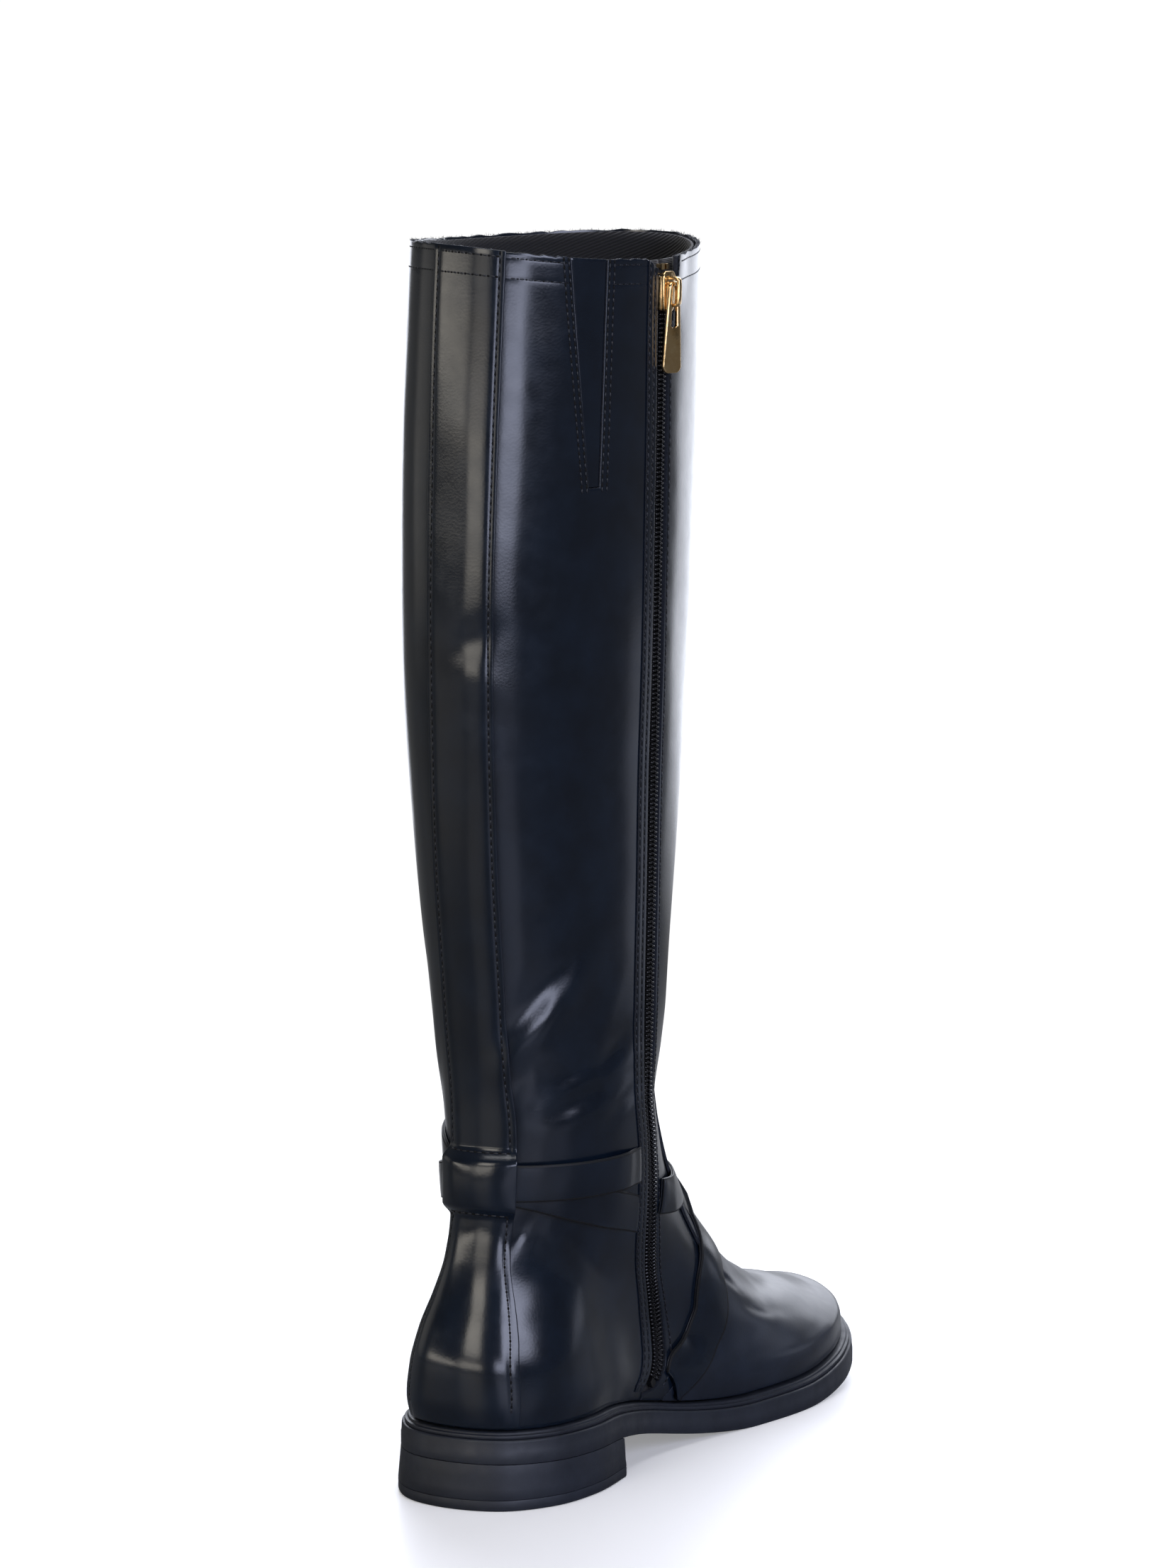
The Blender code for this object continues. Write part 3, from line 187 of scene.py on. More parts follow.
# dents and creases of worn-in leather: t, h, run along (mm), half width (mm), turn (deg), depth (mm)
creases = [
    (39, 169, 50, 6.5, 43, -2.2), (33, 177, 44, 6.0, 43, 0.9), (38, 206, 14, 0.9, 14, 0.25),
    (56, 151, 46, 3.6, 14, 0.5), (57, 145, 42, 3.2, 10, -0.4), (47, 139, 30, 2.8, 22, 0.35),
    (69, 154, 24, 3.0, 38, 0.6), (63, 162, 28, 4.0, 58, -0.5), (24, 149, 18, 3.2, 58, 0.4),
    (46, 132, 28, 2.6, 10, -0.5), (68, 133, 22, 2.4, 30, 0.5), (60, 205, 40, 9.0, 66, 0.5),
    (27, 98, 13, 1.3, 58, 0.5), (31, 95, 12, 1.2, 52, 0.5), (36, 94, 12, 1.2, 140, 0.4), (24, 95, 16, 4.0, 52, 0.9),
    (41, 97, 16, 1.3, 150, 0.4), (50, 92, 20, 1.4, 146, 0.4), (58, 85, 20, 1.2, 140, 0.35), (45, 62, 40, 13.0, 80, -1.6),
    (4, 97, 8, 1.0, 80, 0.25), (-6, 95, 9, 1.1, 96, 0.25), (12, 94, 8, 1.0, 70, 0.2),
    (5, 300, 26, 6.0, 20, 0.6), (11, 286, 24, 6.0, 160, -0.35), (40, 318, 60, 14, 70, 0.5), (55, 225, 60, 12, 60, 0.5),
    (300, 165, 40, 6.0, 60, 0.8), (318, 150, 38, 5.0, 64, -0.7), (290, 148, 36, 5.0, 120, 0.8),
    (170, 150, 50, 7.0, 4, 0.8), (192, 138, 46, 6.0, -6, 0.7), (205, 165, 40, 7.0, 12, -0.6),
    (140, 76, 30, 5.0, 160, 0.6), (155, 70, 36, 5.0, 172, 0.8), (172, 66, 40, 5.0, 180, 0.9),
    (190, 68, 38, 5.0, 5, 0.8), (210, 72, 34, 5.0, 16, 0.7), (163, 60, 40, 6.0, 178, -0.5),
    (198, 61, 40, 6.0, 3, -0.5), (128, 66, 26, 4.0, 150, 0.5), (228, 78, 26, 4.0, 30, 0.5),
]


def wear(t, h):
    t = np.asarray(t, float) % 360
    d = 0.13 * np.sin(h / 19 + 1.7 * np.sin(np.radians(3 * t))) * np.sin(np.radians(5 * t) + h / 41)
    d = d + 0.30 * np.sin(h / 47 + 0.8) * np.sin(np.radians(2 * t) + h / 70 + 0.5)
    d = d * ramp(rim, rim - 30, h) * ramp(foot + 4, foot + 24, h)
    for ct, ch, run, half, turn, deep in creases:
        across = ((t - ct + 180) % 360 - 180) * 0.95
        a, b = math.cos(math.radians(turn)), math.sin(math.radians(turn))
        u, v = across * a + (h - ch) * b, -across * b + (h - ch) * a
        v = v + 0.004 * u * u * np.sign(deep)
        d = d - deep * np.exp(-((v / half) ** 2)) * np.exp(-((2 * u / run) ** 2))
    return d


def bootSurface(t, h, d):
    t, h, d = np.broadcast_arrays(np.asarray(t, float), np.asarray(h, float), np.asarray(d, float))
    alongT, alongH = bootSlopes(t, h)
    n = np.cross(alongT, alongH)
    n /= np.linalg.norm(n, axis=-1)[..., None]
    return bootPoint(t, h) + n * (d + wear(t, h))[..., None]


def sideStep(h, dist):
    h = np.asarray(h, float)
    yc = lineOf(shaft["zipY"], h)
    back = steady(sections[:, 0], sections[:, 1], h)
    front = steady(sections[:, 0], sections[:, 3], h)
    return np.degrees(np.where(np.asarray(dist) < 0, dist / (yc - back), dist / (front - yc)))


def spread(lo, hi, step, extra=()):
    base = list(np.linspace(lo, hi, max(2, int(round((hi - lo) / step)) + 1)))
    base = [b for b in base if all(abs(b - e) > 0.3 * step for e in extra) or b in (base[0], base[-1])]
    return np.array(sorted(base + [e for e in extra if lo < e < hi]))


def columnGrid(parts, rows):
    h = np.asarray(rows, float)
    return np.stack([np.broadcast_to(p(h) if callable(p) else float(p), h.shape) for p in parts], -1)


def between(a, b, count, ends=(True, True)):
    def one(f):
        return lambda h: (a(h) if callable(a) else a) * (1 - f) + (b(h) if callable(b) else b) * f
    share = np.linspace(0, 1, count + 1)
    return [one(f) for f in share[(0 if ends[0] else 1): (count + 1 if ends[1] else count)]]


# ---- materials
def hexColour(code):
    rgb = [int(code[i:i + 2], 16) / 255 for i in (1, 3, 5)]
    return tuple(c / 12.92 if c <= 0.04045 else ((c + 0.055) / 1.055) ** 2.4 for c in rgb) + (1.0,)


def addNode(tree, kind, settings=None, links=None):
    made = tree.nodes.new(kind)
    for key, value in (settings or {}).items():
        if isinstance(key, str) and hasattr(made, key):
            setattr(made, key, value)
        else:
            made.inputs[key].default_value = value
    for key, socket in (links or {}).items():
        tree.links.new(socket, made.inputs[key])
    return made


def startMaterial(name, **sockets):
    made = bpy.data.materials.new(name)
    made.use_nodes = True
    shader = made.node_tree.nodes["Principled BSDF"]
    for key, value in sockets.items():
        shader.inputs[key.replace("_", " ")].default_value = value
    return made, made.node_tree, shader


def rampNode(tree, fac, stops):
    made = addNode(tree, "ShaderNodeValToRGB", links={"Fac": fac})
    while len(made.color_ramp.elements) < len(stops):
        made.color_ramp.elements.new(0.5)
    for e, (pos, colour) in zip(made.color_ramp.elements, stops):
        e.position = pos
        e.color = hexColour(colour) if isinstance(colour, str) else (colour, colour, colour, 1)
    return made


# polished box calf: near black with a blue cast, a smooth waxed face with fine pores and a slow waviness
leatherLook = {"dark": "#0a121d", "light": "#0f1926", "pores": 0.9, "wave": 26.0, "poreDepth": 0.035, "waveDepth": 0.32}
leather, tree, shader = startMaterial("polished_calf_leather", Coat_Weight=0.3, Coat_Roughness=0.11, IOR=1.48)
where = addNode(tree, "ShaderNodeTexCoord").outputs["Object"]
tint = addNode(tree, "ShaderNodeTexNoise", {"Scale": 1000 / 14, "Detail": 4.0}, {"Vector": where})
shade = rampNode(tree, tint.outputs["Fac"], [(0.35, leatherLook["dark"]), (0.7, leatherLook["light"])])
tree.links.new(shade.outputs["Color"], shader.inputs["Base Color"])
smear = addNode(tree, "ShaderNodeTexNoise", {"Scale": 1000 / 7, "Detail": 6.0, "Roughness": 0.6}, {"Vector": where})
gloss = addNode(tree, "ShaderNodeMapRange", {"From Min": 0.3, "From Max": 0.7, "To Min": 0.16, "To Max": 0.24},
                {"Value": smear.outputs["Fac"]})
tree.links.new(gloss.outputs["Result"], shader.inputs["Roughness"])
pore = addNode(tree, "ShaderNodeTexVoronoi", {"Scale": 1000 / leatherLook["pores"]}, {"Vector": where})
poreBump = addNode(tree, "ShaderNodeBump", {"Strength": 0.35, "Distance": leatherLook["poreDepth"] * mm},
                   {"Height": pore.outputs["Distance"]})
roll = addNode(tree, "ShaderNodeTexNoise", {"Scale": 1000 / leatherLook["wave"], "Detail": 1.5}, {"Vector": where})
rollBump = addNode(tree, "ShaderNodeBump", {"Strength": 0.9, "Distance": leatherLook["waveDepth"] * mm},
                   {"Height": roll.outputs["Fac"], "Normal": poreBump.outputs["Normal"]})
tree.links.new(rollBump.outputs["Normal"], shader.inputs["Normal"])

# the same calf on the foot and straps, waxed but not glazed: softer, wider highlights; its base colours are painted
# lighter than the polished calf, standing in for the light on the toe
waxedLeatherPaintedLighter = leather.copy()
waxedLeatherPaintedLighter.name = "waxed_calf_leather_painted_lighter"
for made in waxedLeatherPaintedLighter.node_tree.nodes:
    if made.bl_idname == "ShaderNodeMapRange":
        made.inputs["To Min"].default_value, made.inputs["To Max"].default_value = 0.29, 0.37
    if made.bl_idname == "ShaderNodeBsdfPrincipled":
        made.inputs["Coat Weight"].default_value, made.inputs["Coat Roughness"].default_value = 0.25, 0.16
    if made.bl_idname == "ShaderNodeValToRGB":
        # painted light: these lighter base colours brighten the whole foot in place of the light that falls on the toe
        made.color_ramp.elements[0].color, made.color_ramp.elements[1].color = hexColour("#131a26"), hexColour("#1a2230")

# raw cut edge of the same leather: fibrous, dull, a little paler and bluer than the face
leatherEdge, tree, shader = startMaterial("cut_leather_edge", Roughness=0.85)
where = addNode(tree, "ShaderNodeTexCoord").outputs["Object"]
fuzz = addNode(tree, "ShaderNodeTexNoise", {"Scale": 1000 / 0.5, "Detail": 4.0, "Roughness": 0.7}, {"Vector": where})
shade = rampNode(tree, fuzz.outputs["Fac"], [(0.3, "#0d0f15"), (0.55, "#20242e"), (0.8, "#3a4150")])
tree.links.new(shade.outputs["Color"], shader.inputs["Base Color"])
bump = addNode(tree, "ShaderNodeBump", {"Strength": 0.7, "Distance": 0.2 * mm}, {"Height": fuzz.outputs["Fac"]})
tree.links.new(bump.outputs["Normal"], shader.inputs["Normal"])

# dyed and burnished edge of the straps: black, smoother than a raw cut; also laid on a thin border of each strap's face
# as painted shade, a dark line along its edges
dyedEdgeAndShadeLine, tree, shader = startMaterial("dyed_edge_and_painted_shade_line", Base_Color=hexColour("#06070a"), Roughness=0.6)
where = addNode(tree, "ShaderNodeTexCoord").outputs["Object"]
fuzz = addNode(tree, "ShaderNodeTexNoise", {"Scale": 1000 / 0.7, "Detail": 3.0}, {"Vector": where})
bump = addNode(tree, "ShaderNodeBump", {"Strength": 0.4, "Distance": 0.1 * mm}, {"Height": fuzz.outputs["Fac"]})
tree.links.new(bump.outputs["Normal"], shader.inputs["Normal"])

# waxed polyester thread: tight, slightly glossy, twisted plies; its base colour is painted lighter than the black
# thread, standing in for the glints along it
thread, tree, shader = startMaterial("waxed_polyester_thread", Base_Color=hexColour("#191c24"), Roughness=0.36)
where = addNode(tree, "ShaderNodeTexCoord").outputs["Object"]
ply = addNode(tree, "ShaderNodeTexNoise", {"Scale": 1000 / 0.45, "Detail": 2.0}, {"Vector": where})
bump = addNode(tree, "ShaderNodeBump", {"Strength": 0.5, "Distance": 0.1 * mm}, {"Height": ply.outputs["Fac"]})
tree.links.new(bump.outputs["Normal"], shader.inputs["Normal"])

# bottom of a needle hole: no light comes back out
needleHole, tree, shader = startMaterial("needle_hole_shadow", Base_Color=hexColour("#020203"), Roughness=1.0)

# moulded rubber: satin black with the fine matt of the mould and a few faint rubs
rubber, tree, shader = startMaterial("moulded_rubber", IOR=1.52)
where = addNode(tree, "ShaderNodeTexCoord").outputs["Object"]
cloud = addNode(tree, "ShaderNodeTexNoise", {"Scale": 1000 / 22, "Detail": 5.0, "Roughness": 0.65}, {"Vector": where})
shade = rampNode(tree, cloud.outputs["Fac"], [(0.3, "#161a23"), (0.75, "#232833")])
tree.links.new(shade.outputs["Color"], shader.inputs["Base Color"])
rub = addNode(tree, "ShaderNodeTexNoise", {"Scale": 1000 / 6, "Detail": 5.0}, {"Vector": where})
gloss = addNode(tree, "ShaderNodeMapRange", {"From Min": 0.3, "From Max": 0.7, "To Min": 0.44, "To Max": 0.6},
                {"Value": rub.outputs["Fac"]})
tree.links.new(gloss.outputs["Result"], shader.inputs["Roughness"])
matt = addNode(tree, "ShaderNodeTexNoise", {"Scale": 1000 / 0.6, "Detail": 3.0}, {"Vector": where})
bump = addNode(tree, "ShaderNodeBump", {"Strength": 0.25, "Distance": 0.08 * mm}, {"Height": matt.outputs["Fac"]})
tree.links.new(bump.outputs["Normal"], shader.inputs["Normal"])

# cotton twill: diagonal ribs about 1 mm apart, dull
twill, tree, shader = startMaterial("black_cotton_twill", Roughness=0.9, Sheen_Weight=0.25, Sheen_Roughness=0.5)
cloth = addNode(tree, "ShaderNodeUVMap", {"uv_map": "cloth"}).outputs["UV"]
turned = addNode(tree, "ShaderNodeMapping", {"Rotation": (0, 0, math.radians(-68))}, {"Vector": cloth})
rib = addNode(tree, "ShaderNodeTexWave", {"wave_type": "BANDS", "bands_direction": "X", "Scale": 1000 / 1.1 / 10 * math.pi,
                                          "Distortion": 0.6, "Detail": 1.0, "Detail Scale": 3.0},
              {"Vector": turned.outputs["Vector"]})
shade = rampNode(tree, rib.outputs["Fac"], [(0.1, "#050506"), (0.9, "#17171c")])
tree.links.new(shade.outputs["Color"], shader.inputs["Base Color"])
bump = addNode(tree, "ShaderNodeBump", {"Strength": 0.8, "Distance": 0.25 * mm}, {"Height": rib.outputs["Fac"]})
tree.links.new(bump.outputs["Normal"], shader.inputs["Normal"])

# woven nylon tape of the zip: fine cross ribs
tape, tree, shader = startMaterial("woven_nylon_tape", Roughness=0.75, Sheen_Weight=0.2)
cloth = addNode(tree, "ShaderNodeUVMap", {"uv_map": "cloth"}).outputs["UV"]
rib = addNode(tree, "ShaderNodeTexWave", {"wave_type": "BANDS", "bands_direction": "Y", "Scale": 1000 / 0.8 / 10 * math.pi,
                                          "Distortion": 0.4, "Detail": 1.0}, {"Vector": cloth})
shade = rampNode(tree, rib.outputs["Fac"], [(0.1, "#060607"), (0.9, "#16161b")])
tree.links.new(shade.outputs["Color"], shader.inputs["Base Color"])
bump = addNode(tree, "ShaderNodeBump", {"Strength": 0.6, "Distance": 0.15 * mm}, {"Height": rib.outputs["Fac"]})
tree.links.new(bump.outputs["Normal"], shader.inputs["Normal"])

# drawn nylon monofilament of the coil: smooth, soft highlights
nylon, tree, shader = startMaterial("nylon_monofilament", IOR=1.53)
where = addNode(tree, "ShaderNodeTexCoord").outputs["Object"]
tone = addNode(tree, "ShaderNodeTexNoise", {"Scale": 1000 / 9}, {"Vector": where})
shade = rampNode(tree, tone.outputs["Fac"], [(0.3, "#0b0b0d"), (0.7, "#131317")])
tree.links.new(shade.outputs["Color"], shader.inputs["Base Color"])
gloss = addNode(tree, "ShaderNodeMapRange", {"To Min": 0.16, "To Max": 0.26}, {"Value": tone.outputs["Fac"]})
tree.links.new(gloss.outputs["Result"], shader.inputs["Roughness"])

# gold-plated zinc: die cast, polished, with handling marks
gold, tree, shader = startMaterial("gold_plated_zinc", Metallic=1.0)
where = addNode(tree, "ShaderNodeTexCoord").outputs["Object"]
tone = addNode(tree, "ShaderNodeTexNoise", {"Scale": 1000 / 4, "Detail": 3.0}, {"Vector": where})
shade = rampNode(tree, tone.outputs["Fac"], [(0.3, "#e2bd86"), (0.7, "#f0d2a0")])
tree.links.new(shade.outputs["Color"], shader.inputs["Base Color"])
rub = addNode(tree, "ShaderNodeTexNoise", {"Scale": 1000 / 1.2, "Detail": 4.0}, {"Vector": where})
gloss = addNode(tree, "ShaderNodeMapRange", {"From Min": 0.35, "From Max": 0.7, "To Min": 0.1, "To Max": 0.24},
                {"Value": rub.outputs["Fac"]})
tree.links.new(gloss.outputs["Result"], shader.inputs["Roughness"])
ripple = addNode(tree, "ShaderNodeTexNoise", {"Scale": 1000 / 2.6, "Detail": 2.0}, {"Vector": where})
bump = addNode(tree, "ShaderNodeBump", {"Strength": 0.6, "Distance": 0.12 * mm}, {"Height": ripple.outputs["Fac"]})
tree.links.new(bump.outputs["Normal"], shader.inputs["Normal"])


def hiddenMaterial(name, a, b, grain, rough, metal=0.0):
    made, tree, shader = startMaterial(name, Metallic=metal)
    where = addNode(tree, "ShaderNodeTexCoord").outputs["Object"]
    fibre = addNode(tree, "ShaderNodeTexNoise", {"Scale": 1000 / grain, "Detail": 5.0, "Roughness": 0.7}, {"Vector": where})
    shade = rampNode(tree, fibre.outputs["Fac"], [(0.3, a), (0.7, b)])
    tree.links.new(shade.outputs["Color"], shader.inputs["Base Color"])
    dull = addNode(tree, "ShaderNodeMapRange", {"To Min": rough - 0.1, "To Max": rough + 0.05}, {"Value": fibre.outputs["Fac"]})
    tree.links.new(dull.outputs["Result"], shader.inputs["Roughness"])
    return made


fibreBoard = hiddenMaterial("pressed_fibre_board", "#1c1916", "#2a2520", 1.5, 0.9)  # flecked board dyed near black
cork = hiddenMaterial("ground_cork", "#7c5a38", "#b48a5c", 2.5, 0.92)  # coarse brown crumb
steel = hiddenMaterial("spring_steel", "#8a8c90", "#a6a8ac", 4.0, 0.38, 1.0)  # rolled strip
print("materials ready")


# ---- piece makers
def newPiece(name, bm, mats, body, replaced=()):
    mesh = bpy.data.meshes.new(name)
    bm.to_mesh(mesh)
    bm.free()
    for m in mats:
        mesh.materials.append(m)
    mesh.shade_smooth()
    piece = bpy.data.objects.new(name, mesh)
    bpy.context.scene.collection.objects.link(piece)
    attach(piece, body)
    if replaced:
        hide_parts(*replaced)
    return piece


def layGrid(name, t, h, d, wall, mats, replaced=(), cut=None, rounding=0.3, segments=2, body="boot", shadeBorder=False):
    t, h, d = np.broadcast_arrays(np.asarray(t, float), np.asarray(h, float), np.asarray(d, float))
    ny, nx = t.shape
    place = bootSurface(t, h, d) * mm
    return layPlaces(name, place, wall, mats, replaced, cut, rounding, segments, body, shadeBorder)


def layPlaces(name, place, wall, mats, replaced=(), cut=None, rounding=0.3, segments=2, body="boot", shadeBorder=False):
    ny, nx = place.shape[:2]
    across = np.concatenate([np.zeros((ny, 1)), np.cumsum(np.linalg.norm(np.diff(place, axis=1), axis=2), 1)], 1)
    across = across - across.mean(1, keepdims=True)
    upward = np.concatenate([np.zeros((1, nx)), np.cumsum(np.linalg.norm(np.diff(place, axis=0), axis=2), 0)], 0)
    bm = bmesh.new()
    bmesh.ops.create_grid(bm, x_segments=nx - 1, y_segments=ny - 1, size=1)
    spot = {v: (int(round((v.co.y + 1) / 2 * (ny - 1))), int(round((v.co.x + 1) / 2 * (nx - 1)))) for v in bm.verts}
    cloth = bm.loops.layers.uv.new("cloth")
    gone = []
    for f in bm.faces:
        cells = [spot[v] for v in f.verts]
        if cut and cut(min(c[0] for c in cells), min(c[1] for c in cells)):
            gone.append(f)
        # shadeBorder: the outermost cells take the dark edge material, a painted shade line along the piece's long
        # edges
        if shadeBorder and min(c[1] for c in cells) in (0, nx - 2):
            f.material_index = 1
        for loop in f.loops:
            j, i = spot[loop.vert]
            loop[cloth].uv = (across[j, i], upward[j, i])
    for v, (j, i) in spot.items():
        v.co = place[j, i]
    if gone:
        bmesh.ops.delete(bm, geom=gone, context="FACES")
    piece = newPiece(name, bm, mats, body, replaced)
    shell = piece.modifiers.new("wall", "SOLIDIFY")
    shell.thickness = wall * mm
    shell.offset = -1.0
    shell.use_quality_normals = True
    if len(mats) > 1:
        shell.material_offset_rim = 1
    if rounding:
        soft = piece.modifiers.new("worn edge", "BEVEL")
        soft.width = rounding * mm
        soft.segments = segments
        soft.limit_method = "ANGLE"
        soft.angle_limit = math.radians(50)
        soft.harden_normals = False
    return piece


def addInto(bm, part):
    spare = bpy.data.meshes.new("spare")
    part.to_mesh(spare)
    part.free()
    bm.from_mesh(spare)
    bpy.data.meshes.remove(spare)


stitch = {"pitch": 2.9, "length": 1.75, "width": 0.68, "height": 0.5, "hole": (0.72, 0.5, 0.18)}


def sewRow(name, t, h, d, body="boot", pitch=None):
    t, h, d = (np.atleast_1d(np.asarray(a, float)) for a in (t, h, d))
    t, h, d = np.broadcast_arrays(t, h, d)
    p = bootSurface(t, h, d)
    out = bootSurface(t, h, d + 1.0) - p
    return sewPlaces(name, p, out, body, pitch)


def sewPlaces(name, p, out, body="boot", pitch=None):
    run = np.concatenate([[0], np.cumsum(np.linalg.norm(np.diff(p, axis=0), axis=1))])
    count = max(1, int(round(run[-1] / (pitch or stitch["pitch"]))))
    gap = run[-1] / count
    bm, batch = bmesh.new(), bmesh.new()
    for k in range(count):
        if k % 12 == 11:
            addInto(bm, batch)
            batch = bmesh.new()
        for kind, s in (("thread", (k + 0.5) * gap), ("hole", (k + 1.0) * gap)):
            at = Vector([np.interp(s, run, p[:, j]) for j in range(3)])
            n = Vector([np.interp(s, run, out[:, j]) for j in range(3)]).normalized()
            way = Vector([np.interp(s + 0.4, run, p[:, j]) - np.interp(s - 0.4, run, p[:, j]) for j in range(3)]).normalized()
            side = n.cross(way).normalized()
            way = side.cross(n)
            if kind == "thread":
                size = (stitch["length"] / stitch["pitch"] * gap / 2, stitch["width"] / 2, stitch["height"] / 2)
                at = at + n * 0.06
            else:
                size = stitch["hole"]
            m = Matrix([(way[j] * size[0] * mm, side[j] * size[1] * mm, n[j] * size[2] * mm, at[j] * mm) for j in range(3)] + [(0, 0, 0, 1)])
            made = bmesh.ops.create_uvsphere(batch, u_segments=8 if kind == "thread" else 6, v_segments=5 if kind == "thread" else 4,
                                             radius=1.0, matrix=m @ Matrix.Rotation(math.pi / 2, 4, "Y") if kind == "thread" else m)
            if kind == "hole":
                for f in {f for v in made["verts"] for f in v.link_faces}:
                    f.material_index = 1
    addInto(bm, batch)
    bmesh.ops.recalc_face_normals(bm, faces=bm.faces)
    return newPiece(name, bm, [thread, needleHole], body)


def groove(x, at, deep=0.22, half=0.55):
    return -deep * np.exp(-(((x - at) / half) ** 2))


# ---- zip line, slot and seams of the upper
zipLook = {"slotHalf": 4.8, "slotEnd": 29.2, "slotRounding": 3.0, "facing": 6.0, "facingOut": 0.55, "facingLeather": 0.5}
gussetLook = {"bottom": 350.0, "top": (45.0, 61.0), "low": (55.6, 60.2)}
strapLook = {"width": 12.8, "instep": 14.0, "broad": 18.5, "end": 16.5, "leather": 1.45, "gap": 0.15, "overlay": 0.2}
rimRows = (2.0, 8.6)  # two rows of stitches below the rim


def slotOpen(h):
    return zipLook["slotHalf"] * ramp(zipLook["slotEnd"], zipLook["slotEnd"] + zipLook["slotRounding"], h) + 0.15


def slotRear(h):
    return 90 + sideStep(h, -slotOpen(h))


def slotFront(h):
    return 90 + sideStep(h, slotOpen(h))


def behindSlot(dist):
    return lambda h: 90 + sideStep(h, -slotOpen(h) - dist)


def beforeSlot(dist):
    return lambda h: 90 + sideStep(h, slotOpen(h) + dist)


def gussetSide(k, off=0.0):
    def side(h):
        u = np.clip((h - gussetLook["bottom"]) / (rim - gussetLook["bottom"]), 0, 1)
        low = gussetLook["low"][k]
        ease = (50, 60.2)[k]
        below = ramp(gussetLook["bottom"] - 90, gussetLook["bottom"], h)
        return np.where(h >= gussetLook["bottom"], low + (gussetLook["top"][k] - low) * u, ease + (low - ease) * below) + off
    return side


def vampEdge(t):
    t = np.where(np.asarray(t, float) > 180, 360 - np.asarray(t, float), t)
    return through([(90, 27.6), (94.6, 27.6), (95.4, 31), (96.2, 36), (98.6, 43), (102.4, 54), (108.4, 64.5), (116.5, 76),
                    (127, 84), (140, 92), (155, 104), (180, 116)], t)


def vampTop(t):
    t = np.where(np.asarray(t, float) > 180, 360 - np.asarray(t, float), t)
    side = vampEdge(t) + 7.0
    return side + (158.0 - side) * ramp(122, 134, t)


def vampCover(t, h):
    return 1.1 * ramp(-22, -7, np.asarray(h, float) - vampEdge(t)) * ramp(27, 44, h)


# ---- leather panels
panelRows = spread(foot, rim, 2.2, [rim - r + k for r in rimRows for k in (-0.9, -0.45, 0, 0.45, 0.9)] + [gussetLook["bottom"]])


def rawRim(t, h):  # uneven cut of the rim
    t = np.asarray(t, float)
    return (0.22 * np.sin(0.61 * t + 2.0 * np.sin(0.17 * t)) + 0.16 * np.sin(1.9 * t + 0.7)) * ramp(rim - 1.6, rim, h)


def zipCorner(t, h):  # top corner behind the zip is rounded off
    return -3.6 * ramp(7.5, 0, (slotRear(h) - t) * 0.95) ** 1.5 * ramp(rim - 16, rim, h)


def zipFlare(t, h):  # top corner before the zip turns outward
    return 2.6 * ramp(17, 0, (t - slotFront(h)) * 1.1) * ramp(rim - 30, rim, h)


def rimSeams(h):
    return sum(groove(h, rim - r, 0.08) for r in rimRows)


cols = between(0.7, gussetSide(0), 28) + between(gussetSide(0), gussetSide(1), 5, (False, True))
cols += between(gussetSide(1), slotRear, 16, (False, True))
t = columnGrid(cols, panelRows)
h = np.broadcast_to(panelRows[:, None], t.shape)
firstNotch = int(np.argmin(abs(panelRows - gussetLook["bottom"])))
layGrid("inner_calf_panel", t, h + rawRim(t, h) + zipCorner(t, h), rimSeams(h), 1.5, [leather, leatherEdge], ["inner_rear_panel"],
        cut=lambda j, i: 28 <= i < 33 and j >= firstNotch)

rows = spread(gussetLook["bottom"] + 0.3, rim, 2.2, [rim - r + k for r in rimRows for k in (-0.9, -0.45, 0, 0.45, 0.9)])
t = columnGrid(between(gussetSide(0, 0.2), gussetSide(1, -0.2), 12), rows)
layGrid("gusset_insert", t, rows[:, None], -0.5, 1.0, [leather, leatherEdge], ["gusset"])

t = columnGrid(between(270.15, 359.3, 52), panelRows)
h = np.broadcast_to(panelRows[:, None], t.shape)
layGrid("outer_calf_panel", t, h + rawRim(t, h), rimSeams(h) + groove(t, 270.9, 0.15, 0.5), 1.5, [leather, leatherEdge], ["outer_rear_panel"])

edgeT = np.linspace(94.6, 179.9, 500)
edgeH = vampEdge(edgeT)


def seamT(h):
    return np.minimum(np.interp(h, edgeH, edgeT), 178.0)


wing = np.concatenate([np.linspace(0, 0.24, 9), np.linspace(0.24, 1, 27)[1:]])
t = np.concatenate([slotFront(panelRows)[:, None] * (1 - wing) + seamT(panelRows)[:, None] * wing,
                    (360 - seamT(panelRows))[:, None] * (1 - wing) + 269.85 * wing], 1)
h = np.broadcast_to(panelRows[:, None], t.shape)
layGrid("front_panel_leather", t, h + rawRim(t, h), rimSeams(h) + zipFlare(t, h), 1.5, [leather, leatherEdge], ["front_panel"],
        cut=lambda j, i: i == len(wing) - 1 and panelRows[j] < 116)

# vamp with its tongue, lapped over the front panel
cols = sorted(set(list(np.linspace(95.2, 120, 14)) + list(np.linspace(120, 136, 17)) + list(np.linspace(136, 224, 56))
                  + list(np.linspace(224, 240, 17)) + list(np.linspace(240, 264.8, 14))))
t = np.broadcast_to(np.array(cols)[None, :], (70, len(cols)))
top = vampTop(np.array(cols))
share = np.linspace(0, 1, 70)[:, None]
h = foot + (top[None, :] - foot) * share
layGrid("vamp_leather", t, h, vampCover(t, h), 0.95, [waxedLeatherPaintedLighter, leatherEdge], ["vamp"])
print("panels laid")

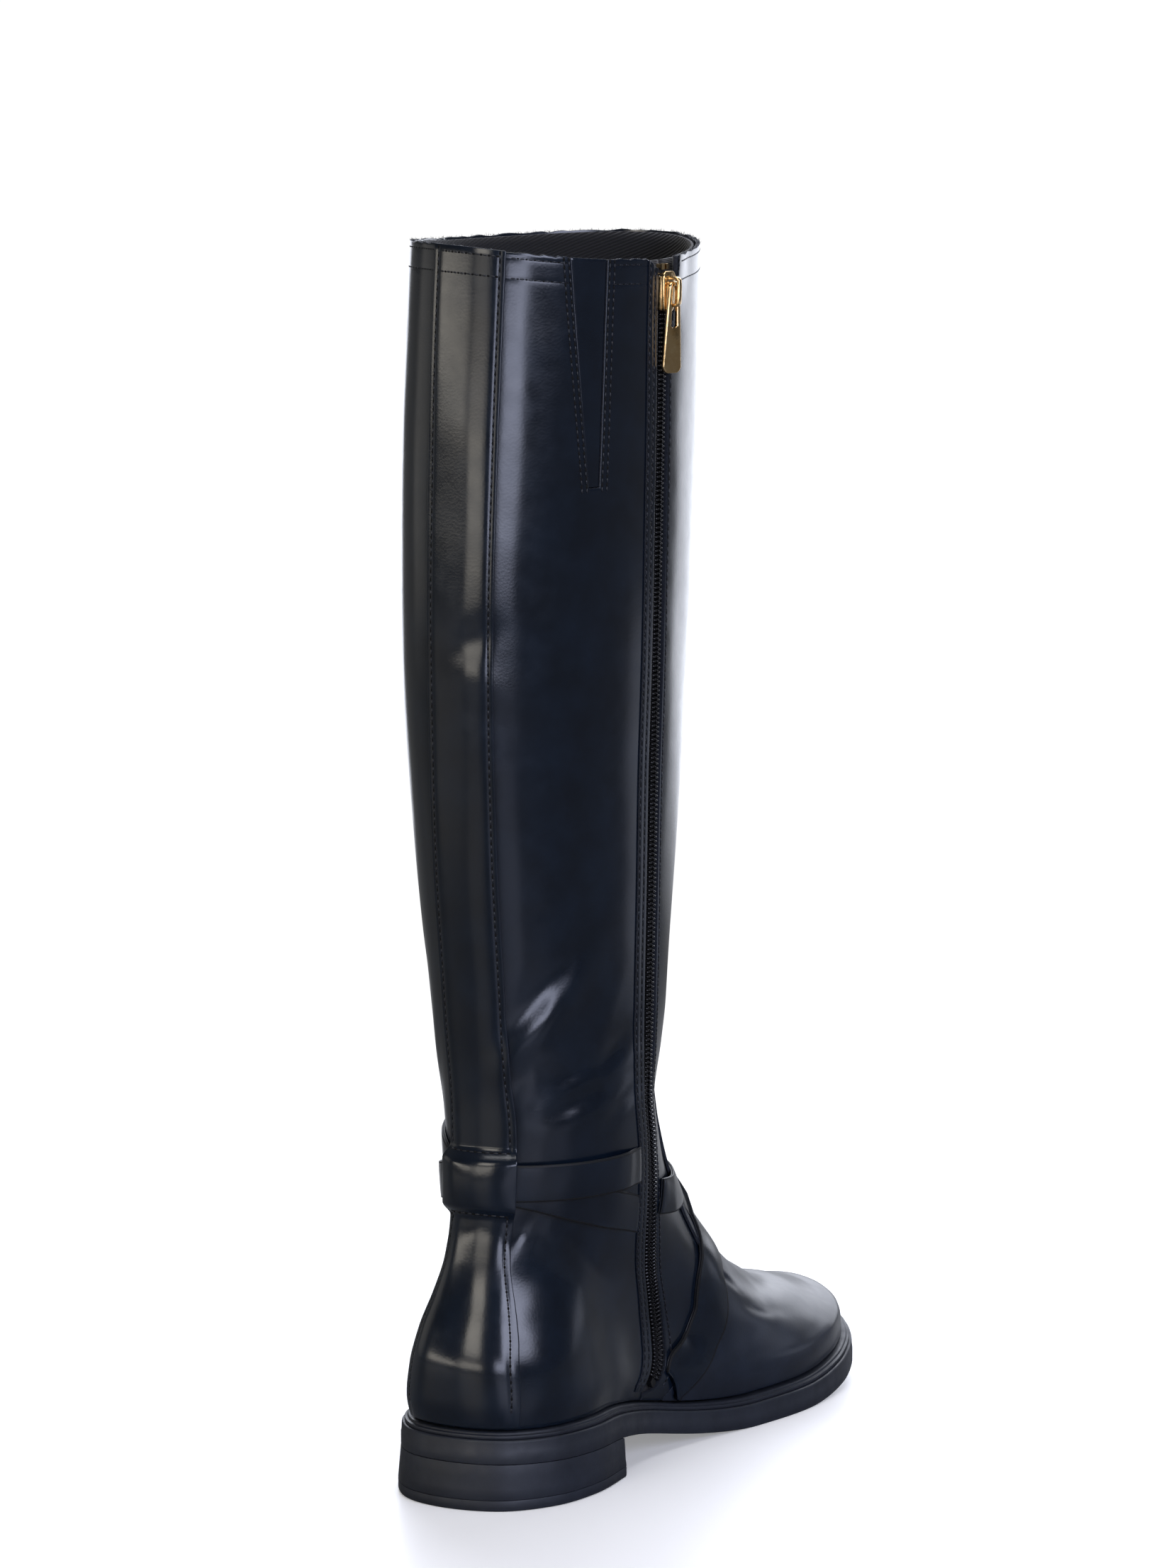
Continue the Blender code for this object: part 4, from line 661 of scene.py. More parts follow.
# ---- straps
straps = {
    "ankle": [(78.3, 115.2), (50, 113.5), (20, 112), (0, 111.6), (-20, 111), (-40, 109.5), (-90, 108), (-140, 110),
              (-180, 111.5), (-220, 108), (-245, 106), (-262, 105.6)],
    "instep": [(77, 101), (50, 105.5), (20, 110.5), (0, 111.8), (-20, 113), (-40, 118.5), (-90, 124), (-140, 120.5),
               (-180, 113), (-205, 104), (-220, 96), (-233.4, 89), (-243.8, 81.5), (-252, 70), (-258, 59.5), (-262, 48),
               (-264.2, 41), (-265.2, 34), (-265.5, 26), (-265.5, 18)],
}


def strapLine(path, step):
    k = np.array(path, float)
    fine = np.linspace(0, len(k) - 1, 60 * (len(k) - 1) + 1)
    t = flowing(np.arange(len(k)), k[:, 0], fine)
    h = flowing(np.arange(len(k)), k[:, 1], fine)
    run = np.concatenate([[0], np.cumsum(np.linalg.norm(np.diff(bootPoint(t, h), axis=0), axis=1))])
    s = np.linspace(0, run[-1], int(run[-1] / step) + 1)
    t, h = np.interp(s, run, t), np.interp(s, run, h)
    alongT, alongH = bootSlopes(t, h)
    ahead = alongT * np.gradient(t)[:, None] + alongH * np.gradient(h)[:, None]
    left = np.cross(np.cross(alongT, alongH), ahead)
    left /= np.linalg.norm(left, axis=1)[:, None]
    a, b, c = (alongT * alongT).sum(1), (alongT * alongH).sum(1), (alongH * alongH).sum(1)
    p, q = (alongT * left).sum(1), (alongH * left).sum(1)
    det = a * c - b * b
    dt, dh = (c * p - b * q) / det, (a * q - b * p) / det
    soften = np.ones(9) / 9
    dt, dh = (np.convolve(np.pad(x, 4, mode="edge"), soften, "valid") for x in (dt, dh))
    return s, t, h, dt, dh


def easedLift(s, need, reach=3.0, blur=6.0):
    wide = np.array([need[abs(s - x) <= reach + blur].max() for x in s])
    return np.array([wide[abs(s - x) <= blur].mean() for x in s])


def underStrap(t, h, dt, dh, width):
    across = np.linspace(-0.55, 0.55, 5) * width[:, None]
    tt, hh = t[:, None] + across * dt[:, None], h[:, None] + across * dh[:, None]
    turn = tt % 360
    top = np.maximum.reduce([vampTop(turn - 8), vampTop(turn), vampTop(turn + 8)])
    onVamp = (hh <= top + 5) & (turn > 94) & (turn < 266)
    cover = np.maximum.reduce([vampCover(turn - 4, hh), vampCover(turn, hh), vampCover(turn + 4, hh)])
    return np.where(onVamp, cover * 1.05, 0.0).max(1)


ankle, instep = strapLine(straps["ankle"], 1.6), strapLine(straps["instep"], 1.6)
ankleWidth = np.full_like(ankle[0], strapLook["width"])
broad = strapLook["instep"] + (strapLook["broad"] - strapLook["instep"]) * ramp(-170, -225, instep[1])
instepWidth = broad + (strapLook["end"] - strapLook["broad"]) * ramp(-242, -262, instep[1])
apart = np.linalg.norm(bootPoint(ankle[1], ankle[2])[:, None] - bootPoint(instep[1], instep[2])[None], axis=-1)
meet = 0.5 * (strapLook["width"] + instepWidth) + 0.6
atBack = ((apart < meet) & (instep[1] > -100)).any(1) & (ankle[1] > -100)
atFront = (apart < meet).any(0) & (instep[1] < -120)
ankleNeed = underStrap(*ankle[1:], ankleWidth) + np.where(atBack, strapLook["leather"] + strapLook["gap"], 0.0)
ankleLift = easedLift(ankle[0], ankleNeed) + strapLook["overlay"]
instepNeed = underStrap(*instep[1:], instepWidth)
ankleTop = np.where(apart < meet, (ankleLift + strapLook["leather"])[:, None], 0.0).max(0)
instepNeed = np.where(atFront, np.maximum(ankleTop + strapLook["gap"] - strapLook["overlay"], instepNeed), instepNeed)
instepLift = easedLift(instep[0], instepNeed, 1.5, 4.0) + strapLook["overlay"]


def layStrap(name, line, lift, width, replaced, sag=0.0, hug=None):
    s, t, h, dt, dh = line
    lift = lift - 1.2 * ramp(16, 1, s)  # pared end, tucked in by the zip facing
    f = np.array([0.5, 0.45, 0.38, 0.26, 0.1, -0.1, -0.26, -0.38, -0.45, -0.5])
    across = f * width[:, None]
    tt, hh = t[:, None] + across * dt[:, None], h[:, None] + across * dh[:, None]
    tt = tt + (behindSlot(zipLook["facing"] - 0.3)(hh[0]) - tt[0]) * ramp(18, 0, s)[:, None]
    if hug:  # the end by the welt lies against the zip
        tt = tt + (hug(hh[:, -1:]) - 360 - tt[:, -1:]) * ramp(54, 42, hh[:, -1:]) * (t[:, None] < -240) * ramp(0.5, -0.5, f)
    crown = 0.18 * (1 - (2 * f) ** 4)
    top = (lift + strapLook["leather"])[:, None] - np.broadcast_to(sag, s.shape)[:, None] * ramp(0.2, -0.5, f)
    low = hh < 28.2
    sunk = low[:-1, :-1] & low[1:, :-1] & low[:-1, 1:] & low[1:, 1:]
    hh = np.maximum(hh, 28.2)
    # the face's outer cells take the dyed edge colour: partly the burnished edge carried over, partly painted shade for
    # the shadow line under the strap
    layGrid(name, tt, hh, top - 0.15 + crown, 0.75, [leather, dyedEdgeAndShadeLine], [replaced],
            cut=lambda j, i: sunk[j, i], rounding=0.2, shadeBorder=True)
    layGrid(name + "_backing", tt, hh, top - 0.92, 0.55, [leather, dyedEdgeAndShadeLine], [],
            cut=lambda j, i: sunk[j, i], rounding=0.2)


layStrap("ankle_strap_leather", ankle, ankleLift, ankleWidth, "ankle_strap")
instepLift = instepLift * (1 - 0.8 * ramp(50, 30, instep[2]) * (instep[1] < -240))
layStrap("instep_strap_leather", instep, instepLift, instepWidth, "instep_strap",
         1.3 * ramp(-212, -246, instep[1]) * (1 - 0.6 * ramp(54, 42, instep[2])), beforeSlot(0.6))
print("straps laid")

# ---- back strip with the keeper that holds both straps
stripLook = {"leather": 1.35, "keeper": (103.6, 119.0), "ease": 5.0, "sewIn": 0.85}


def stripHalf(h):
    return through([(27.6, 24), (57, 24), (85, 20), (113, 20), (157, 19), (275.6, 16.5), (428, 17.5)], h)


def keeperLift(h):
    low, high = stripLook["keeper"]
    return ramp(low - stripLook["ease"], low, h) * ramp(high + stripLook["ease"], high, h)


def stripOut(f, h):
    plump = 0.12 * (1 - np.abs(f) ** 3) + groove(np.abs(f), stripLook["sewIn"], 0.2, 0.045) * (1 - keeperLift(h))
    low, high = stripLook["keeper"]
    arch = np.clip(1 - ((2 * h - low - high) / (high - low + 4)) ** 2, 0, 1) * (1 - np.abs(f) ** 3)
    return 0.25 + stripLook["leather"] + plump + 3.25 * keeperLift(h) + 1.5 * arch


f = np.array([-1, -0.97, -0.93, -0.89, -0.85, -0.81, -0.76, -0.66, -0.54, -0.4, -0.25, -0.1, 0.1, 0.25, 0.4, 0.54, 0.66, 0.76,
              0.81, 0.85, 0.89, 0.93, 0.97, 1])
rows = spread(29.0, rim + 0.2, 2.2, list(np.linspace(98, 105, 9)) + list(np.linspace(117.5, 125, 9)))
t = stripHalf(rows)[:, None] * f
h = np.broadcast_to(rows[:, None], t.shape)
layGrid("back_strip_leather", t, h, stripOut(f, h), stripLook["leather"], [leather, leatherEdge], ["back_strip"])
print("back strip laid")

# ---- zip: facing, tapes, coils, slider and pull
rows = spread(31.0, rim, 2.2)
dist = np.array([6.0, 5.8, 5.5, 5.2, 4.9, 4.5, 3.6, 2.9, 2.5, 2.2, 1.9, 1.5, 0.8, 0.3, 0.0])
t = np.stack([behindSlot(x)(rows) for x in dist], -1)
layGrid("zip_facing_leather", t, rows[:, None] + zipCorner(t, rows[:, None]), zipLook["facingOut"] + groove(dist, 2.2, 0.16, 0.35) + groove(dist, 5.2, 0.16, 0.35),
        zipLook["facingLeather"], [leather, leatherEdge], ["zip_facing"], rounding=0.25)


rows = spread(28.0, rim - 1.0, 2.5)
near = 0.9 * ramp(34, 39, rows)  # the tapes meet at their foot
for side, sign in (("rear", -1), ("front", 1)):
    dist = [sign * (near + (12 - near) * k / 7) for k in range(8)]
    t = np.stack([90 + sideStep(rows, x) for x in (dist if sign > 0 else dist[::-1])], -1)
    piece = layGrid("zip_tape_cloth_" + side, t, rows[:, None], -1.9, 0.7, [tape], ["zip_tape_" + side], rounding=0)
    bootSurface(t, np.broadcast_to(rows[:, None], t.shape), -1.9) * mm


def zipFrame(h):
    h = np.atleast_1d(np.asarray(h, float))
    at = bootPoint(np.full_like(h, 90.0), h)
    alongT, alongH = bootSlopes(np.full_like(h, 90.0), h)
    up = alongH / np.linalg.norm(alongH, axis=1)[:, None]
    out = np.cross(alongT, alongH)
    out /= np.linalg.norm(out, axis=1)[:, None]
    over = np.cross(up, out)
    a = np.radians(24 * ramp(148, 122, h) * ramp(30, 44, h))[:, None]  # below the slider's travel the chain turns to the back
    return at, up, out * np.cos(a) - over * np.sin(a), over * np.cos(a) + out * np.sin(a)


coilLook = {"pitch": 1.6, "low": -1.6, "deep": 2.1, "near": 0.32, "far": 2.75, "bottom": 36.0, "top": 423.4}
fine = np.linspace(coilLook["bottom"], coilLook["top"], 900)
at, up, out, over = zipFrame(fine)
run = np.concatenate([[0], np.cumsum(np.linalg.norm(np.diff(at, axis=0), axis=1))])
for side, sign in (("rear", -1), ("front", 1)):
    bm, batch = bmesh.new(), bmesh.new()
    count = int(run[-1] / coilLook["pitch"])
    for k in range(count):
        if k % 24 == 23:
            addInto(bm, batch)
            batch = bmesh.new()
        s = (k + (0.25 if sign < 0 else 0.75)) * coilLook["pitch"]
        p, u, o, a = (Vector([np.interp(s, run, x[:, j]) for j in range(3)]) for x in (at, up, out, over))
        mid = sign * (coilLook["near"] + coilLook["far"]) / 2
        size = ((coilLook["far"] - coilLook["near"]) / 2, 0.56, coilLook["deep"] / 2)
        c = p + a * mid + o * (coilLook["low"] + coilLook["deep"] / 2)
        m = Matrix([(a[j] * size[0] * mm, u[j] * size[1] * mm + a[j] * sign * 0.12 * mm, o[j] * size[2] * mm, c[j] * mm) for j in range(3)] + [(0, 0, 0, 1)])
        bmesh.ops.create_uvsphere(batch, u_segments=8, v_segments=6, radius=1.0, matrix=m)
        c = p + a * sign * 0.3 + o * (coilLook["low"] + coilLook["deep"] - 0.12)  # the head that locks over its neighbour
        bmesh.ops.create_icosphere(batch, subdivisions=1, radius=0.42 * mm, matrix=Matrix.Translation(c * mm))
    addInto(bm, batch)
    newPiece("zip_coil_teeth_" + side, bm, [nylon], "boot", ["zip_coil_" + side])
print("zip laid")

zipAt, zipUp, zipOut, zipOver = (Vector(v[0]) for v in zipFrame(416.0))


def onZip(a, o, u):
    return (zipAt + zipOver * a + zipOut * o + zipUp * u) * mm


def plate(bm, outline, low, high, place, worn=0.35):
    part = bmesh.new()
    made = bmesh.ops.create_circle(part, cap_ends=True, segments=len(outline), radius=1.0)
    for v, (a, b) in zip(made["verts"], outline):
        v.co = Vector((a, b, low))
    top = bmesh.ops.extrude_face_region(part, geom=list(part.faces))
    for g in top["geom"]:
        if isinstance(g, bmesh.types.BMVert):
            g.co.z = high
    flatEdges = [e for e in part.edges if abs(e.verts[0].co.z - e.verts[1].co.z) < 1e-6]
    bmesh.ops.bevel(part, geom=flatEdges, offset=worn, offset_type="OFFSET", affect="EDGES", segments=3, profile=0.5, material=-1)
    for v in part.verts:
        v.co = place(*v.co)
    bmesh.ops.recalc_face_normals(part, faces=part.faces)
    addInto(bm, part)


def roundedBox(wide, tall, corner, count=6, taper=0.0):
    pts = []
    for cx, cy, start in ((1, 1, 0), (-1, 1, 90), (-1, -1, 180), (1, -1, 270)):
        for k in range(count + 1):
            a = math.radians(start + 90 * k / count)
            w = wide / 2 + (taper if cy > 0 else 0)
            pts.append((cx * (w - corner) + corner * math.cos(a), cy * (tall / 2 - corner) + corner * math.sin(a)))
    return pts


sliderLook = {"topLow": 1.0, "plate": 1.3, "length": 14.0, "half": 4.4, "bridge": 10.6, "bridgeHalf": 1.0}
topLow = coilLook["low"] + coilLook["deep"] + 0.5
topHigh = topLow + sliderLook["plate"]
baseHigh = -1.9 - 0.8 - 0.5
bm = bmesh.new()
body = roundedBox(2 * sliderLook["half"] - 0.9, sliderLook["length"], 2.4, 6, 0.45)
plate(bm, body, topLow, topHigh, lambda x, y, z: onZip(x, z, y), 0.4)
plate(bm, roundedBox(2 * sliderLook["half"] - 1.2, sliderLook["length"] - 0.6, 2.2, 6, 0.3), baseHigh - 1.3, baseHigh, lambda x, y, z: onZip(x, z, y), 0.35)
plate(bm, roundedBox(0.36, 5.0, 0.16, 4), baseHigh - 0.2, topLow + 0.2, lambda x, y, z: onZip(x, z, y + 3.6), 0.05)
for sign in (-1, 1):
    plate(bm, roundedBox(0.8, 11.6, 0.38, 4), -1.45, topLow + 0.3, lambda x, y, z, k=sign: onZip(x + k * 3.95, z, y - 0.6), 0.2)
pivotOut = topHigh + 0.7 + 0.8
archIn = pivotOut + math.hypot(0.9, 0.8) + 0.3
arch = [(-5.3, topHigh - 0.5), (-5.3, archIn - 0.6), (-4.9, archIn + 0.5), (-4.0, archIn + 1.1), (-2.0, archIn + 1.25), (2.0, archIn + 1.25),
        (4.0, archIn + 1.1), (4.9, archIn + 0.5), (5.3, archIn - 0.6), (5.3, topHigh - 0.5), (4.1, topHigh - 0.5), (4.1, archIn - 0.3),
        (3.4, archIn + 0.05), (-3.4, archIn + 0.05), (-4.1, archIn - 0.3), (-4.1, topHigh - 0.5)]
plate(bm, [(b, a) for a, b in arch][::-1], -sliderLook["bridgeHalf"], sliderLook["bridgeHalf"], lambda x, y, z: onZip(z, x, y), 0.3)
bmesh.ops.recalc_face_normals(bm, faces=bm.faces)
slider = newPiece("zip_slider_gold", bm, [gold], "slider", ["zip_slider"])

pullLook = {"length": 31.5, "width": 8.0, "thick": 1.6, "bar": 1.8, "slotLength": 14.0, "slotHalf": 1.6}
pivotUp = 5.3 - 1.2 - math.hypot(0.9, 0.8) - 0.3
barTop = pivotUp + pullLook["bar"] / 2
midUp = barTop - pullLook["length"] / 2
count = 48
slotMid = pivotUp - pullLook["bar"] / 2 - pullLook["slotLength"] / 2
outer = [(x, midUp + y) for x, y in roundedBox(pullLook["width"], pullLook["length"], 2.4, 11, -0.6)]
inner = [(x, slotMid + y) for x, y in roundedBox(2 * pullLook["slotHalf"], pullLook["slotLength"], 1.2, 11)]
bm = bmesh.new()
loops = []
for line in (outer, inner):
    made = bmesh.ops.create_circle(bm, cap_ends=False, segments=count, radius=1.0)
    for v, (a, b) in zip(made["verts"], line):
        v.co = Vector((a, b, pivotOut - pullLook["thick"] / 2))
    loops += list({e for v in made["verts"] for e in v.link_edges})
bmesh.ops.bridge_loops(bm, edges=loops)
bmesh.ops.recalc_face_normals(bm, faces=bm.faces)
made = bmesh.ops.extrude_face_region(bm, geom=list(bm.faces))
for g in made["geom"]:
    if isinstance(g, bmesh.types.BMVert):
        g.co.z += pullLook["thick"]
bmesh.ops.recalc_face_normals(bm, faces=bm.faces)
edges = [e for e in bm.edges if len(e.link_faces) == 2 and e.calc_face_angle() > 0.9 and abs(e.verts[0].co.z - e.verts[1].co.z) < 1e-6]
bmesh.ops.bevel(bm, geom=edges, offset=0.6, offset_type="OFFSET", affect="EDGES", segments=4, profile=0.5, material=-1)
for v in bm.verts:
    a = math.radians(4 + 20 * float(ramp(-6.5, -17, v.co.y)))  # the lower part is turned to the back
    x, z = v.co.x, v.co.z - pivotOut
    lean = 0.4 * float(ramp(-7.5, -26, v.co.y))  # and hangs in against the leather
    v.co = onZip(x * math.cos(a) - z * math.sin(a), pivotOut - lean + z * math.cos(a) + x * math.sin(a), v.co.y)
bmesh.ops.recalc_face_normals(bm, faces=bm.faces)
newPiece("zip_pull_gold", bm, [gold], "pull", ["zip_pull"])
print("slider and pull made")


# ---- linings
def liningPush(t, h):
    t = np.asarray(t, float) % 360
    back = np.minimum(t, 360 - t)
    heel = ramp(95, 81, back) * ramp(91, 79, h)
    toe = ramp(67, 53, abs(t - 180)) * ramp(73, 61, h)
    return 1.5 * np.maximum(heel, toe)


def liningFront(h):
    return 90 + sideStep(h, 14.0)


def liningRear(h):
    return 450 + sideStep(h, -14.0)


rows = spread(135.0, rim - 0.6, 3.0)
t = columnGrid(between(liningFront, liningRear, 110), rows)
piece = layGrid("shaft_lining_twill", t, rows[:, None], -2.3, 0.9, [twill], ["shaft_lining"], rounding=0)
bootSurface(t, np.broadcast_to(rows[:, None], t.shape), -2.3) * mm
rows = spread(32.0, 134.7, 3.0)
t = columnGrid(between(liningFront, liningRear, 120), rows)
h = np.broadcast_to(rows[:, None], t.shape)
piece = layGrid("foot_lining_twill", t, h, -2.3 - liningPush(t, h), 0.9, [twill], ["foot_lining"], rounding=0)
bootSurface(t, h, -2.3 - liningPush(t, h)) * mm
rows = spread(113.0, rim - 4.0, 3.0)
dist = np.array([-27.0, -24, -20.5, -17.0, -13.5, -11, -9.0, -6, -3, 0.0, 3, 6, 9.0])
deep = np.interp(dist, [-27, -17, -9, 9], [-3.9, -3.9, -5.4, -5.4])
t = np.stack([90 + sideStep(rows, x) for x in dist], -1)
piece = layGrid("zip_guard_twill", t, rows[:, None], deep, 0.9, [twill], ["zip_guard"], rounding=0.2)
bootSurface(t, np.broadcast_to(rows[:, None], t.shape), deep) * mm

bm = bmesh.new()
bm.from_mesh(nodes["insock"].data)
bmesh.ops.remove_doubles(bm, verts=bm.verts, dist=1e-6)
bmesh.ops.bevel(bm, geom=[e for e in bm.edges if len(e.link_faces) == 2 and e.calc_face_angle() > 0.8], offset=0.4 * mm,
                offset_type="OFFSET", affect="EDGES", segments=2, profile=0.5, material=-1)
cloth = bm.loops.layers.uv.new("cloth")
for face in bm.faces:
    for loop in face.loops:
        loop[cloth].uv = loop.vert.co.xy
bm.normal_update()
upper = [face for face in bm.faces if face.normal.z > 0.5]
area = sum(face.calc_area() for face in upper)
slope = area / sum(face.calc_area() * face.normal.z for face in upper)  # its length over its length seen from above
piece = newPiece("insock_twill", bm, [twill], "boot", ["insock"])
print("linings laid")


# ---- sole unit
def soleLoop(inset, count, breast=None):
    inner, outer = outlineHalves(inset)
    if breast is None:
        p = np.concatenate([inner, outer[::-1][1:-1]])
        p = np.concatenate([p, p[:1]])
    else:
        a = inner[inner[:, 1] < breast]
        b = outer[outer[:, 1] < breast]
        xi, xo = np.interp(breast, inner[:, 1], inner[:, 0]), np.interp(breast, outer[:, 1], outer[:, 0])
        p = np.concatenate([[(xo, breast)], b[::-1], a[1:], [(xi, breast)]])
        p = np.concatenate([p, np.linspace((xi, breast), (xo, breast), 14)[1:]])
    run = np.concatenate([[0], np.cumsum(np.linalg.norm(np.diff(p, axis=0), axis=1))])
    s = np.linspace(0, run[-1], count, endpoint=False)
    return np.stack([np.interp(s, run, p[:, 0]), np.interp(s, run, p[:, 1])], -1)


def soleLoft(name, levels, replaced, count=260, breast=None, hole=False, rounding=0.0):
    bm = bmesh.new()
    mark = bm.verts.layers.int.new("mark")
    made = bmesh.ops.create_circle(bm, cap_ends=False, segments=count, radius=1.0)
    first = made["verts"]
    for k, v in enumerate(first):
        v[mark] = k
    edges = list({e for v in first for e in v.link_edges})
    verts, ends = first, []
    for n, (inset, height) in enumerate(levels):
        if n:
            made = bmesh.ops.extrude_edge_only(bm, edges=edges)
            verts = [g for g in made["geom"] if isinstance(g, bmesh.types.BMVert)]
            edges = [g for g in made["geom"] if isinstance(g, bmesh.types.BMEdge) and all(v in set(verts) for v in g.verts)]
        line = soleLoop(inset, count, breast)
        z = height(line[:, 1])
        for v in verts:
            k = v[mark]
            v.co = Vector((line[k, 0], line[k, 1], z[k])) * mm
        if n in (0, len(levels) - 1):
            ends.append((list(verts), list(edges)))
    if hole:
        bmesh.ops.bridge_loops(bm, edges=ends[0][1] + ends[1][1])
    else:
        for _, loop in ends:
            bmesh.ops.triangle_fill(bm, use_beauty=True, use_dissolve=False, edges=loop, normal=(0, 0, 1))
    bmesh.ops.recalc_face_normals(bm, faces=bm.faces)
    piece = newPiece(name, bm, [rubber], "boot", [replaced])
    piece.data.set_sharp_from_angle(angle=math.radians(40))
    return piece


def above(dz):
    return lambda y: soleZ(y) + dz


def flat(z):
    return lambda y: np.full_like(y, z)


soleLook = {"breast": 33.0, "lift": 3.8, "outsole": 8.4, "weltTop": 10.8, "flare": 1.0}
soleLoft("heel_lift_rubber", [(0.4, flat(0.0)), (-0.35, flat(0.06)), (-0.8, flat(0.3)), (-1.0, flat(0.8)), (-1.0, flat(3.75)), (-0.94, flat(3.86)),
                              (-0.6, flat(3.9))], "heel_top_lift", breast=33.0)
soleLoft("heel_block_rubber", [(-0.6, flat(4.0)), (-0.94, flat(4.04)), (-1.0, flat(4.15)), (-0.7, lambda y: 4.1 + 0.3 * (soleZ(y) - 4.4)),
                               (-0.35, lambda y: 4.1 + 0.65 * (soleZ(y) - 4.4)), (0.0, above(-0.3)), (0.06, above(-0.16)), (0.5, above(-0.1))],
         "heel_block", breast=33.0)
soleLoft("outsole_rubber", [(1.2, above(0.0)), (0.4, above(0.02)), (0.06, above(0.1)), (0.0, above(0.3)), (0.0, above(4.3)), (0.16, above(4.55)),
                            (0.3, above(7.6)), (0.42, above(8.1)), (0.75, above(8.36)), (1.3, above(8.42)), (2.2, above(8.42))], "outsole", count=420)
soleLoft("welt_rubber", [(2.0, above(8.5)), (1.5, above(8.52)), (1.3, above(8.75)), (1.28, above(9.5)), (1.42, above(9.8)), (1.8, above(9.92)),
                         (2.2, above(9.92)), (2.36, above(10.05)), (2.42, above(10.55)), (2.7, above(10.82)), (3.2, above(10.9)), (3.7, above(10.9)),
                         (4.4, above(11.0)), (9.8, above(11.0)), (9.8, above(8.5))], "welt", count=420, hole=True)
print("sole unit made")

# ---- stitching
rows = spread(34.0, rim - 0.8, 2.0)
keep = rows[(rows < 98) | (rows > 126)]
for side, sign in (("inner", 1), ("outer", -1)):
    for part, span in (("shaft", rows[rows > 123]), ("heel", rows[rows < 101])):
        sewRow("strip_stitch_" + side + "_" + part, sign * stripLook["sewIn"] * stripHalf(span), span, stripOut(np.full_like(span, stripLook["sewIn"]), span) - 0.02)
for part, at in (("top", 122.3), ("bottom", 100.6)):
    f = np.linspace(-0.82, 0.82, 30)
    sewRow("keeper_stitch_" + part, f * stripHalf(at), np.full_like(f, at), stripOut(f, np.full_like(f, at)))
for k, below in enumerate(rimRows):
    for part, a, b in (("inner", 19, float(gussetSide(0)(np.array(rim - below))) - 2), ("outer", 341, 271), ("front", 269, float(slotFront(np.array(rim - below))) + 4)):
        t = np.linspace(a, b, 80)
        sewRow("rim_stitch_%s_%d" % (part, k + 1), t, np.full_like(t, rim - below), -0.2 + zipFlare(t, np.full_like(t, rim - below)) * (part == "front"))
    f = np.linspace(-0.78, 0.78, 24)
    sewRow("rim_stitch_strip_%d" % (k + 1), f * stripHalf(rim - below), np.full_like(f, rim - below), stripOut(f, np.full_like(f, rim - below)) - 0.1)
    t = np.linspace(float(gussetSide(1)(np.array(rim - below))) + 2, float(slotRear(np.array(rim - below))) - 9, 20)
    sewRow("rim_stitch_zip_%d" % (k + 1), t, np.full_like(t, rim - below), -0.2)
rows = spread(33.0, rim - 1.5, 2.0)
for k, dist in enumerate((2.2, 5.2)):
    sewRow("facing_stitch_%d" % (k + 1), behindSlot(dist)(rows), rows + zipCorner(behindSlot(dist)(rows), rows), zipLook["facingOut"] - 0.12)
frontDist = np.interp(rows, [33, 95, 140, rim], [3.4, 2.4, 1.6, 1.6])
sewRow("front_zip_stitch", 90 + sideStep(rows, slotOpen(rows) + frontDist), rows, zipFlare(90 + sideStep(rows, slotOpen(rows) + frontDist), rows))
rows = spread(gussetLook["bottom"] - 2.0, rim - 0.8, 2.0)
for k, sign in ((0, -1), (1, 1)):
    for n, off in enumerate((0.9, 3.0)):
        sewRow("gusset_stitch_%d_%d" % (k + 1, n + 1), gussetSide(k, sign * off / 1.0)(rows), rows, 0.0)
rimFuzz = {"count": 520, "length": (0.5, 1.3), "thick": 0.09}
pick = np.random.default_rng(7)
bm, batch = bmesh.new(), bmesh.new()
for k in range(rimFuzz["count"]):
    t = pick.uniform(19, 341)
    if 44 < t < 62 or float(slotRear(np.array(rim))) - 5 < t < float(slotFront(np.array(rim))) + 1:
        continue
    root = bootSurface(t, rim - 0.2, pick.uniform(-1.4, -0.1))
    lean = np.append(pick.normal(0, 0.55, 2), 1.0)
    long = pick.uniform(*rimFuzz["length"])
    turn = Vector((0, 0, 1)).rotation_difference(Vector(lean)).to_matrix().to_4x4()
    bmesh.ops.create_cone(batch, segments=3, radius1=rimFuzz["thick"] * mm, radius2=0.02 * mm, depth=long * mm,
                          matrix=Matrix.Translation(Vector((root + lean / np.linalg.norm(lean) * long / 2) * mm)) @ turn)
    if k % 40 == 39:
        addInto(bm, batch)
        batch = bmesh.new()
addInto(bm, batch)
newPiece("rim_raw_fibres", bm, [leatherEdge], "boot")
print("stitching sewn")

# ---- hidden stiffeners keep their solids
for name, mat in (("heel_counter", fibreBoard), ("toe_puff", fibreBoard), ("insole_board", fibreBoard), ("sole_filler", cork), ("shank", steel),
                  ("zip_top_stop_rear", gold), ("zip_top_stop_front", gold), ("zip_bottom_stop", nylon)):
    nodes[name].data.materials.clear()
    nodes[name].data.materials.append(mat)

